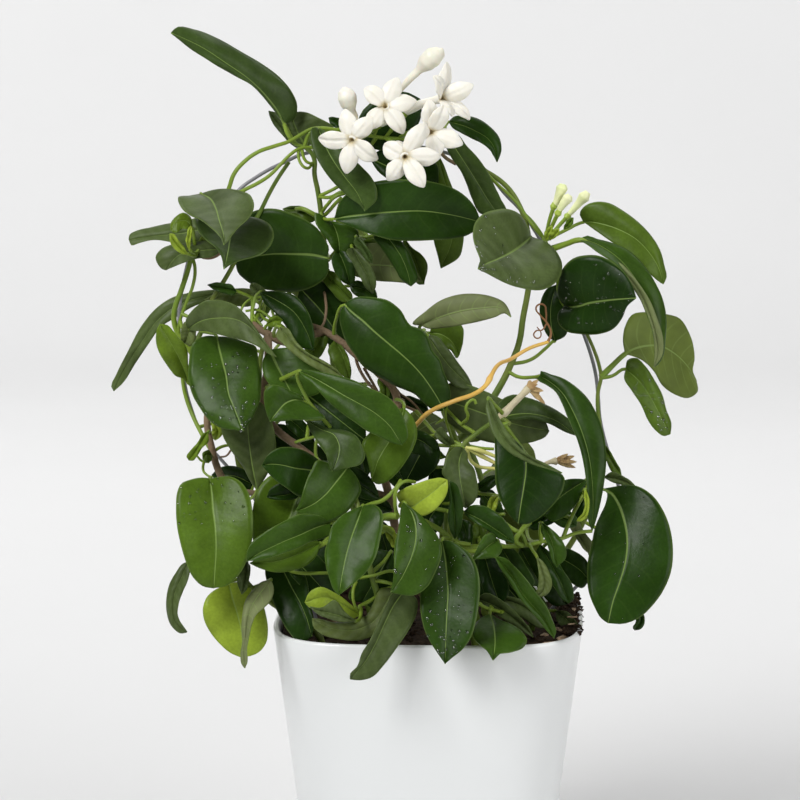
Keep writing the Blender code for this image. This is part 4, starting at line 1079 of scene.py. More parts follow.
# %% [markdown]
# The top shoot. It climbs in the middle, to the top of the hoop. It carries the two longest drooping leaves up
# there and, on short stalks, all the white flowers and buds.

# %% The top shoot
STEMS["vine_top"] = [
    ((-14, 20), 2.4, 1.2, [
        (366, 560, 10), (350, 480, 12), (338, 400, 12), (330, 330, 12), (326, 270, 8),
        (321, 212, 2), (318, 192, 0), (314.5, 174, -3), (314, 158, -4), (306, 148, -5), (297, 145, -5)]),
    (None, 1.2, 1.0, [
        (304, 147, -5), (312, 131, -6), (338, 130, -6), (362, 134, -1), (385, 138, 1),
        (415, 137, 2), (446, 124, 0)]),
    (None, 1.2, 0.9, [
        (326, 262, 7), (345, 244, 6), (372, 236, 3), (400, 232, 3), (428, 224, 4)]),
    (None, 0.9, 1.6, [(345, 131, -4), (352, 128, -8), (358, 126, -14)]),
    (None, 0.9, 1.6, [(362, 134, -1), (374, 127, -5), (380, 124, -7)]),
    (None, 0.9, 1.6, [(385, 138, 1), (392, 142, -10), (397, 144, -22)]),
    (None, 0.9, 1.6, [(400, 137, 2), (406, 134, -4), (412, 132, -11)]),
    (None, 0.9, 1.6, [(385, 138, 1), (398, 122, -2), (406, 113, -5)]),
    (None, 0.8, 1.3, [(374, 136, 0), (384, 112, -2), (396, 95, -9)]),
    (None, 0.8, 1.3, [(338, 130, -6), (347, 124, -11), (354, 119, -15)]),
]
grow_shoot("vine_top", STEMS["vine_top"], [
    leaf("dusky", -6, -22, "284 123, 276 109, 263 93, 247 78, 227 64, 201 47, 171 33",
         "290 122, 295 117, 297 106, 291 91, 280 78, 263 65, 241 52, 218 39, 195 30, 176 28",
         "281 119, 271 106, 255 88, 234 75, 211 62, 191 49, 175 36", back=(8, -1), arch=1.5, wave=1.4),
    leaf("grey", 4, 10, "306 146, 300 137, 295 126, 291 113", "298 143, 291 133, 286 122, 285 115",
         "318 142, 334 128, 319 118, 303 112", back=(3, -3)),
    leaf("slate", 8, 12, "300 150, 287 134, 269 111", "294 146, 279 131, 270 117", "303 144, 289 127, 274 112"),
    leaf("dusky", -10, -27, "318 128, 322 138, 331 157, 344 176, 357 193, 365 211",
         "312 128, 310 136, 313 150, 323 169, 338 187, 350 198, 361 206",
         "325 131, 336 143, 349 155, 362 167, 372 178, 377 190, 376 201, 370 207", back=(-1, -2)),
    simple_leaf("dark", (360, 141, 6), (420, 99, 12), 28, "oval", arch=3, fold=8),
    leaf("deep", 4, -6, "449 122, 461 125, 475 131, 489 140, 495 150, 497 162",
         "454 117, 463 116, 478 119, 491 128, 499 138, 501 150",
         "452 127, 461 133, 473 139, 484 145, 491 151, 494 157", back=(3, -2)),
    leaf("dusky", -10, -12, "447 134, 456 149, 465 163, 476 180, 487 198, 498 214",
         "446 145, 452 158, 461 171, 467 184, 472 198, 480 213",
         "455 133, 467 146, 478 158, 488 172, 495 187, 501 199, 506 211", back=(1, -2)),
    leaf("olive", 8, 12, "436 152, 443 175, 450 205, 452 240, 441 268",
         "432 165, 432 190, 432 215, 434 241, 438 256", "441 160, 449 180, 458 205, 463 243, 459 257, 449 264",
         back=(1, 1)),
    leaf("dark", 10, 6, "370 158, 400 172, 438 184", "382 149, 412 154, 437 164", "378 171, 404 186, 430 190"),
    leaf("deep", -16, -20, "334 219, 345 217, 361 215, 391 212, 422 211, 452 215, 481 222",
         "337 211, 341 200, 352 190, 366 184, 385 180, 414 180, 438 183, 460 192, 475 207",
         "345 224, 354 228, 376 236, 392 240, 414 241, 435 240, 452 239, 468 235, 477 229", back=(-3, -4),
         arch=5),
    leaf("mid", -2, -4, "331 221, 336 231, 339 244, 339 257",
         "323 216, 315 213, 315 220, 319 229, 326 238, 333 249",
         "344 224, 352 226, 358 231, 359 238, 353 246, 346 252", back=(-4, -2)),
    leaf("deep", -8, 12, "327 258, 313 255, 293 254, 272 254, 252 257, 236 262",
         "329 248, 324 238, 318 229, 308 221, 293 214, 277 209, 262 209, 250 213, 240 225, 236 245",
         "329 266, 326 277, 318 284, 308 289, 295 292, 277 291, 260 288, 247 281, 238 272"),
    leaf("olive", 10, 16, "319 217, 308 212, 296 209, 283 209", "313 213, 303 207, 292 206",
         "312 222, 300 220, 290 215"),
    leaf("grey", 2, -4, "345 266, 360 266, 376 265, 395 267, 412 274, 422 281",
         "350 250, 365 244, 380 243, 395 250, 410 262", "350 273, 365 279, 380 281, 395 282, 410 283",
         flip=True),
    leaf("deep", -14, -22, "380 228, 392 243, 401 256, 407 270, 411 286",
         "374 237, 381 247, 389 259, 396 270, 402 280", "398 238, 406 248, 412 259, 416 270, 417 280",
         back=(3, 1)),
    leaf("olive", 8, 10, "404 238, 412 252, 418 268, 424 284", "402 250, 408 265, 414 279, 418 284",
         "413 249, 421 254, 427 263, 427 272, 425 279"),
    leaf("slate", -12, -16, "352 248, 360 262, 368 277, 373 293", "347 250, 353 263, 360 277, 367 289",
         "358 250, 367 261, 374 274, 376 286"),
    leaf("dark", -4, -8, "338 250, 345 266, 350 285", "332 257, 334 270, 343 282",
         "347 252, 354 262, 355 273, 354 282"),
    leaf("olive", 4, 0, "322 270, 336 285, 352 301", "323 279, 332 292, 343 302", "334 272, 343 284, 352 295"),
    leaf("slate", 8, 4, "322 284, 333 291, 352 303", "328 292, 340 300, 349 305", "332 284, 343 290, 352 297"),
    leaf("deep", 6, 2, "350 286, 362 289, 377 297", "355 281, 367 284, 375 290", "352 292, 362 298, 372 300"),
    leaf("dusky", -14, -16, "356 237, 364 248, 372 263", "354 242, 361 252, 368 261",
         "360 238, 367 247, 372 256"),
    leaf("deep", 10, 12, "350 129, 341 124, 329 118", "346 122, 338 118, 332 117", "345 131, 336 128, 330 123"),
    leaf("dark", 4, 8, "300 288, 322 312, 345 346", "314 280, 340 296, 352 326", "297 306, 312 330, 334 346"),
    leaf("olive", 12, 14, "345 250, 360 244, 379 243", "350 243, 362 238, 374 239",
         "352 255, 365 251, 376 250"),
])

# %% [markdown]
# The right shoot. It follows the wire up on the right and bends over to the left at the top. One side stem
# carries the big arched leaves, another the three green side buds.

# %% The right shoot
STEMS["vine_right"] = [
    ((26, 16), 2.6, 1.4, [
        (452, 560, 4), (447, 500, -6), (454, 446, -16), (465, 434, -16), (483, 417, -15), (492, 400, -13),
        (504, 379, -12), (511, 364, -12), (519, 343, -11), (523, 318, -10), (528, 291, -9),
        (531, 265, -8), (529, 240, -6), (524, 217, -5), (519, 205, -5), (512, 193, -5),
        (503, 183, -5), (492, 175, -5), (483, 170, -5)]),
    (None, 1.2, 1.0, [(524, 214, -5), (533, 223, -5), (545, 241, -6), (552, 256, -8), (558, 281, -12)]),
    (None, 1.1, 0.9, [(511, 364, -12), (530, 360, -9), (546, 348, -6), (553, 341, -5)]),
    (None, 1.1, 1.0, [(507, 371, -12), (519, 377, -17), (536, 377, -24)]),
    (None, 0.8, 1.2, [(545, 241, -6), (549, 222, -8), (553, 209, -9)]),
    (None, 0.8, 1.2, [(545, 241, -6), (552, 226, -11), (557, 215.4, -14)]),
    (None, 0.8, 1.2, [(545, 241, -6), (556, 229, 2), (566, 218, 8)]),
    (None, 0.9, 0.9, [(541, 236, -6), (530, 222, -8), (520, 207, -8), (508, 194, -8), (497, 184, -8),
                      (487, 174, -7), (480, 168, -5)]),
]
grow_shoot("vine_right", STEMS["vine_right"], [
    leaf("grey", -8, -64, "531 237, 522 245, 510 253, 498 259, 486 264, 478 269",
         "526 224, 519 214, 507 209, 495 210, 483 214, 475 223, 473 235, 476 248, 480 259",
         "537 239, 547 243, 557 253, 562 265, 560 277, 553 285, 541 290, 526 289, 510 285, 495 278, 484 272",
         back=(1.5, 1.5), arch=6, dew=(60, 0.45, 0.95)),
    leaf("olive", -2, -22, "584 222, 592 222, 602 224, 620 230, 636 239, 648 251, 658 267, 663 284",
         "580 213, 585 206, 596 202, 608 203, 623 211, 639 223, 651 236, 660 251, 664 266, 666 278",
         "588 225, 596 231, 606 238, 617 246, 628 257, 640 267, 650 274, 658 281", back=(4, -3), hook=4,
         root=(544, 241, -6), via=[(566, 230, -4)]),
    leaf("mid", -20, -40, "579 240, 592 242, 604 248, 620 260, 634 277, 646 298, 654 320, 658 342, 654 367",
         "587 236, 596 239, 608 242, 626 249, 642 263, 654 281, 662 298, 666 318, 665 340, 663 355, 659 363",
         "585 243, 596 251, 611 261, 626 276, 638 294, 646 312, 653 333, 655 352", back=(4, -7),
         root=(551, 249, -7), via=[(566, 244, -14)], thick=1.7),
    leaf("pale", -27, -44, "608 258, 626 274, 641 294, 650 315, 656 337, 658 353, 654 367",
         "618 262, 636 280, 649 299, 657 319, 663 339, 662 356",
         "611 261, 625 277, 639 297, 648 316, 654 335, 655 353", flip=True, arch=8, root=None),
    leaf("dark", -18, -50, "565 306, 576 307, 590 303, 610 300, 636 298",
         "558 296, 559 281, 564 267, 574 258, 587 255, 600 256, 612 262, 624 272, 632 285",
         "558 314, 558 322, 566 331, 581 334, 599 334, 613 329, 622 318, 627 306", back=(2, 2),
         dew=(90, 0.0, 0.9)),
    leaf("dark", -5, -3, "555 341, 551 325, 551 305, 556 285", "549 337, 544 329, 540 315, 541 300, 547 289",
         "565 336, 569 322, 569 305, 564 290"),
    leaf("deep", -27, -56, "540 376, 550 382, 562 393, 572 410, 582 433, 589 458, 592 482, 593 505, 592 531",
         "541 371, 549 374, 562 378, 576 387, 588 399, 596 413, 602 428, 605 443, 606 461, 604 481, 600 503, "
         "595 522",
         "537 379, 545 384, 555 391, 562 403, 568 418, 575 434, 581 452, 585 473, 587 492, 587 507, 588 520",
         back=(3, -3), arch=6),
    # tiny bracts below the side buds
    leaf("new", -12, -14, "546 241, 548 233, 552 226", "544 236, 548 228", "550 235, 553 230", arch=1,
         root=None),
    leaf("new", -12, -14, "550 240, 555 235, 559 229", "550 236, 556 229", "554 238, 559 233", arch=1,
         root=None),
    leaf("bright", -12, -12, "564 229, 569 223, 573 218", "565 224, 571 218", "568 228, 573 223", arch=1,
         root=None),
])

# %% [markdown]
# The far right shoot. It climbs outside the wire on the right.

# %% The far right shoot
STEMS["vine_far_right"] = [
    ((57, 0), 2.0, 0.95, [
        (548, 575, -4), (570, 545, -6), (588, 512, -8), (598, 485, -8), (601, 455, -8), (600, 430, -7),
        (598, 410, -6), (598, 392, -6), (601, 377, -6), (599, 365, -6), (594, 350, -5), (587, 334, -4)]),
]
grow_shoot("vine_far_right", STEMS["vine_far_right"], [
    leaf("olive", 2, 36, "625 354, 634 349, 645 346, 660 346, 675 354, 687 366, 696 380",
         "623 340, 625 327, 633 314, 645 312, 666 314, 679 318, 688 331, 693 346, 694 361, 692 370",
         "632 356, 645 362, 654 371, 663 386, 676 395, 688 398, 697 392", flip=True, back=(-2, -3),
         root=(601, 377, -6), via=[(613, 365, -3)], thick=1.7),
    leaf("olive", -8, -16, "626 369, 638 380, 651 398, 661 417, 670 434",
         "628 360, 636 358, 645 366, 654 380, 662 395, 666 410, 671 424",
         "624 377, 632 391, 641 405, 648 420, 656 431, 664 436", back=(3, -2), dew=(70, 0.1, 0.9),
         root=(601, 378, -6), via=[(612, 376, -7)]),
    leaf("deep", -22, -62,
         "602 489, 611 493, 618 503, 624 519, 627 535, 627 551, 624 568, 619 584, 613 601, 608 623",
         "607 492, 606 503, 600 516, 595 528, 592 543, 588 560, 587 577, 589 593, 595 608, 601 618",
         "614 487, 625 485, 637 486, 651 494, 663 510, 670 528, 673 550, 671 572, 663 591, 652 606, 639 618, "
         "622 624", back=(-1, -3), arch=7, dew=(16, 0.1, 0.9)),
    leaf("grey", 0, -10, "604 477, 614 478, 624 481, 636 487", "612 472, 621 475, 629 480",
         "612 482, 620 484, 628 487"),
    leaf("olive", 2, 0, "603 444, 610 456, 621 475", "606 446, 614 459, 620 469", "603 451, 607 462, 615 474"),
    leaf("deep", -8, -10, "640 611, 642 620, 635 630", "637 615, 636 622, 633 628",
         "644 616, 644 624, 640 629"),
    leaf("pale", -16, -20, "570 519, 577 533, 589 553", "575 518, 583 530, 592 545",
         "569 524, 576 537, 585 550", flip=True),
])

# %% [markdown]
# The centre shoot. Its old, woody stems cross the middle of the plant and show between the leaves.

# %% The centre shoot
STEMS["vine_centre"] = [
    ((4, -4), 2.6, 1.9, [
        (404, 560, -22), (390, 500, -24), (382, 450, -26), (394, 420, -24), (396, 395, -24),
        (380, 375, -24), (355, 354, -24), (340, 341, -22), (324, 331, -19), (306, 325, -15)], 10),
    (None, 2.2, 2.0, [(324, 331, -19), (304, 338, -22), (284, 342, -24), (268, 334, -24), (252, 324, -22)], 5),
    (None, 1.3, 1.0, [(355, 357, -24), (390, 345, -14), (424, 330, -12)]),
    (None, 0.9, 0.8, [(281, 342, -24), (273, 352, -26), (268, 362, -28)]),
    (None, 1.3, 1.0, [(378, 450, -26), (345, 440, -40), (322, 418, -54)]),
    (None, 2.2, 2.1, [(268, 334, -24), (268, 365, -28), (264, 395, -30), (266, 415, -30), (278, 431, -30),
                      (296, 445, -30), (312, 457, -30), (330, 472, -30), (356, 486, -28), (388, 497, -24)], 10),
    (None, 0.9, 0.8, [(355, 354, -24), (359, 368, -20), (370, 385, -18), (384, 397, -16), (400, 404, -16),
                      (416, 411, -16)], 6),
    (None, 1.0, 0.9, [(294, 443, -30), (303, 440, -36), (318, 436, -44)]),
]
grow_shoot("vine_centre", STEMS["vine_centre"], [
    leaf("deep", -34, -44,
         "345 305, 352 312, 362 320, 375 332, 388 343, 400 353, 412 364, 422 375, 430 386, 437 397, 444 410",
         "350 300, 358 297, 368 297, 378 298, 387 300, 395 305, 402 312, 406 320, 411 326, 418 328, 425 332, "
         "429 340, 432 350, 440 360, 443 370, 447 380, 450 390, 450 399, 447 406",
         "341 311, 340 320, 342 330, 348 345, 355 355, 362 365, 373 373, 385 380, 396 386, 406 390, 415 394, "
         "421 400, 429 407, 437 411", back=(2.5, 4), arch=7),
    leaf("pale", -22, -38, "421 325, 440 317, 461 311, 483 308, 501 308, 511 317",
         "413 324, 425 312, 440 301, 458 295, 476 294, 492 297, 504 303, 509 311",
         "427 328, 440 328, 461 325, 480 321, 495 317, 505 313", flip=True, back=(3, 0)),
    leaf("olive", -4, -6, "430 333, 440 334, 450 340, 459 355", "432 326, 441 321, 455 320, 463 328, 463 341",
         "431 342, 440 347, 451 350, 457 358"),
    leaf("slate", -22, -30, "428 336, 437 350, 450 367, 473 389", "434 336, 447 348, 458 363, 469 379",
         "426 346, 433 362, 444 377, 460 388", back=(3, -3)),
    leaf("mid", -62, -84, "299 371, 312 377, 330 387, 345 396, 360 404, 375 413, 388 424, 402 445",
         "305 370, 320 372, 335 375, 347 378, 358 382, 372 389, 385 395, 396 405, 403 416, 407 427, 408 437",
         "303 377, 311 382, 318 390, 326 399, 336 408, 346 416, 356 423, 367 431, 380 437, 393 443"),
    leaf("bright", -54, -68, "404 408, 399 425, 389 442, 379 458, 372 480",
         "390 412, 372 430, 362 445, 366 455, 369 466",
         "411 415, 416 425, 417 436, 413 449, 406 461, 396 474, 384 483, 377 484"),
    leaf("dusky", -64, -86, "306 420, 322 430, 334 435, 339 445, 338 457, 332 471",
         "309 428, 314 437, 320 446, 326 455, 329 464",
         "315 423, 330 429, 346 431, 357 437, 363 448, 365 457, 361 464, 352 467, 341 469"),
    leaf("mid", -70, -80, "304 402, 295 400, 286 403, 278 411, 270 421",
         "300 396, 290 391, 280 386, 271 385, 265 390, 264 399, 266 411",
         "313 408, 325 418, 310 420, 295 420, 281 421"),
    leaf("pale", -46, -58, "280 327, 288 338, 300 350, 315 360, 328 367, 343 377",
         "287 328, 296 342, 310 354, 325 362, 337 370", "276 335, 284 345, 298 357, 311 366, 321 371, 332 377"),
    leaf("dark", -14, -30, "260 292, 278 301, 294 312, 306 330, 314 350", "275 291, 295 296, 308 312, 314 332",
         "265 304, 274 312, 283 322, 292 335, 303 348"),
    leaf("mid", -36, -48, "270 350, 277 366, 284 379, 292 394", "264 358, 263 372, 270 385, 282 393",
         "288 348, 312 356, 334 371, 326 388, 306 397"),
    simple_leaf("dark", (304, 392, -38), (366, 441, -52), 26, "small", arch=2, fold=8),
    leaf("olive", -20, -24, "335 340, 343 356, 350 380", "328 350, 333 362, 342 375",
         "342 346, 348 357, 351 369"),
    leaf("dark", -26, -28, "286 416, 300 428, 314 442", "296 416, 308 426, 314 436",
         "286 424, 295 434, 306 442"),
    leaf("dark", -30, -34, "386 468, 397 478, 412 492", "396 468, 406 478, 413 487",
         "386 476, 394 486, 404 492"),
    leaf("dark", -10, -14, "262 426, 290 445, 328 468", "282 424, 308 438, 326 454",
         "264 440, 284 458, 312 470"),
    leaf("olive", -16, -20, "324 330, 318 343, 306 358", "328 337, 325 349, 315 360",
         "313 334, 307 346, 303 355"),
    leaf("dark", -6, -10, "384 384, 394 396, 404 412", "392 384, 401 394, 406 405",
         "382 392, 389 404, 398 412"),
    leaf("dark", -6, -10, "402 398, 413 403, 428 410", "408 396, 418 399, 426 404",
         "406 406, 414 410, 424 414"),
    leaf("dark", -26, -30, "352 499, 368 502, 392 510", "358 495, 374 496, 388 502",
         "358 505, 372 509, 386 514"),
    leaf("dark", -12, -14, "376 520, 384 540, 390 566", "384 522, 394 540, 396 560",
         "370 530, 376 548, 384 566"),
    leaf("dark", 6, 2, "345 384, 360 392, 384 414", "354 382, 372 390, 386 404", "342 394, 354 408, 372 416"),
    leaf("fresh", -26, -28, "266 326, 272 321, 282 320", "270 318, 277 316", "272 327, 279 325"),
    # small growth that the plain model leaves out
    leaf("dark", -54, -60, "318 460, 338 475, 358 484, 379 498", "335 462, 355 466, 368 475, 376 487",
         "325 474, 345 489, 360 497, 370 500"),
    leaf("olive", -18, -22, "384 377, 386 388, 386 400", "378 379, 380 390, 383 398",
         "391 383, 390 392, 388 399"),
    leaf("bright", -36, -40, "426 452, 435 453, 446 457", "430 448, 438 450", "430 457, 440 459"),
    leaf("grey", -44, -50, "453 447, 445 440, 436 431", "447 445, 439 440, 435 436",
         "454 442, 447 434, 441 427"),
    leaf("deep", -24, -34, "318 400, 330 415, 345 426", "325 396, 340 408, 348 420",
         "318 410, 328 422, 340 429"),
    leaf("dark", -30, -40, "345 430, 360 452, 366 478", "355 428, 368 446, 373 466",
         "343 444, 352 464, 360 478"),
])

# %% [markdown]
# The low centre shoot. It leans forward over the rim, and its leaves hang in front of the pot.

# %% The low centre shoot
STEMS["vine_low_centre"] = [
    ((-20, -46), 2.2, 1.2, [
        (378, 596, -62), (368, 560, -70), (362, 525, -74), (356, 500, -70), (344, 480, -60), (330, 474, -52)]),
    (None, 1.3, 1.0, [(368, 560, -70), (345, 540, -66), (322, 545, -58), (300, 560, -50), (284, 568, -44)]),
    (None, 1.2, 1.0, [(378, 596, -62), (368, 602, -66), (360, 606, -68)]),
]
grow_shoot("vine_low_centre", STEMS["vine_low_centre"], [
    leaf("mid", -76, -90, "330 523, 315 528, 300 535, 285 541, 270 548, 258 554, 247 561",
         "320 516, 310 514, 300 514, 288 519, 275 526, 262 534, 252 542, 247 552",
         "330 535, 322 539, 310 542, 300 547, 290 551, 275 556, 260 560", back=(-2, -3)),
    leaf("bright", -60, -70, "320 543, 300 553, 278 561, 250 563", "315 540, 298 545, 276 551, 260 557",
         "316 556, 305 566, 290 571, 273 572, 260 568"),
    leaf("mid", -62, -80, "348 467, 336 482, 326 494, 315 503, 305 508, 296 511",
         "335 465, 325 462, 318 460, 311 470, 306 482, 302 495, 299 505",
         "357 478, 361 490, 356 501, 348 511, 337 519, 325 523, 313 520, 303 515"),
    leaf("mid", -84, -106, "363 506, 358 520, 352 536, 347 552, 343 570, 339 595",
         "352 510, 340 517, 332 526, 328 540, 325 552, 326 566, 330 580, 334 590",
         "375 505, 381 510, 383 523, 380 540, 376 556, 368 570, 358 580, 347 589", back=(-1, -4)),
    leaf("deep", -56, -66, "324 473, 310 470, 295 468, 282 465, 270 464, 262 465",
         "320 462, 312 455, 300 449, 288 447, 278 448, 271 452, 265 459",
         "320 488, 310 498, 298 496, 288 489, 279 483, 271 476, 266 470", back=(-2, -3)),
    leaf("bright", -44, -56, "303 484, 297 496, 289 518, 276 540, 266 556",
         "290 476, 274 474, 261 484, 254 502, 252 524, 255 545", "310 495, 308 512, 300 530, 284 550"),
    leaf("dark", -44, -68, "280 565, 286 576, 292 588, 300 602, 307 618, 312 636",
         "266 568, 267 583, 272 599, 279 615, 288 631, 301 643", "295 562, 305 575, 309 592, 311 608, 314 624"),
    leaf("new", -68, -80, "361 614, 345 606, 325 597, 305 602", "350 604, 335 593, 320 587, 309 593",
         "350 620, 330 611, 318 610, 309 607"),
    leaf("pale", -64, -72, "394 588, 385 605, 375 620, 355 630, 330 628, 312 619",
         "380 590, 374 602, 368 614, 350 622, 330 622, 318 619",
         "397 600, 390 618, 378 633, 360 640, 338 639, 320 633, 313 626", back=(3, -3)),
    leaf("slate", -82, -110, "405 590, 393 606, 385 622, 376 642, 366 660, 350 679",
         "394 592, 386 606, 378 623, 370 640, 362 653, 357 667, 350 674",
         "417 600, 417 612, 410 628, 402 640, 393 653, 383 666, 372 677, 360 680", back=(-2, -1)),
    # small growth that the plain model leaves out
    leaf("ashen", -82, -86, "356 621, 340 616, 325 612, 310 607", "345 612, 334 600, 325 606, 317 608",
         "345 622, 330 619, 318 614"),
    leaf("dark", -50, -58, "302 488, 290 494, 267 497", "295 484, 280 483, 270 489",
         "298 497, 285 500, 273 499"),
    leaf("dark", -48, -58, "290 554, 308 573, 322 588, 335 601", "305 548, 325 563, 337 585",
         "288 568, 303 588, 320 600"),
    leaf("dark", -52, -60, "392 552, 378 575, 362 602", "374 550, 358 575, 350 600",
         "396 570, 390 592, 374 608"),
    leaf("lime", -72, -80, "384 526, 390 533, 395 547", "390 526, 396 534, 397 543",
         "385 532, 389 541, 393 547"),
    leaf("dark", -36, -44, "340 520, 318 548, 304 576", "325 515, 305 540, 296 566",
         "345 540, 335 562, 316 578"),
    leaf("deep", -30, -40, "300 520, 285 535, 276 556", "290 515, 272 530, 268 550",
         "306 532, 300 548, 286 560"),
])

# %% [markdown]
# The low right shoot. It is the densest one. Its front leaves are large, and many small dark ones behind them
# close the view into the bush; their dark look is partly painted shade.

# %% The low right shoot
STEMS["vine_low_right"] = [
    ((24, -44), 2.2, 1.2, [
        (452, 590, -58), (450, 550, -62), (452, 512, -60), (458, 475, -54), (463, 446, -48),
        (476, 434, -46), (490, 424, -48), (500, 418, -50), (510, 424, -54)]),
    (None, 1.3, 1.0, [(450, 550, -62), (480, 546, -58), (520, 546, -56), (545, 541, -54), (563, 538, -52),
                      (576, 533, -50), (592, 531, -48)]),
    (None, 1.2, 1.0, [(563, 538, -52), (568, 525, -48), (575, 510, -46), (584, 494, -44)]),
    (None, 1.2, 1.0, [(452, 512, -60), (430, 508, -68), (412, 508, -74), (400, 506, -78)]),
    (None, 1.2, 1.0, [(450, 550, -62), (462, 584, -58), (482, 606, -56), (500, 612, -56)]),
    (None, 1.0, 0.9, [(500, 418, -50), (516, 440, -46), (532, 460, -40), (542, 465, -36)]),
    (None, 1.2, 1.3, [(500, 418, -50), (504.2, 415, -50.3)]),
]
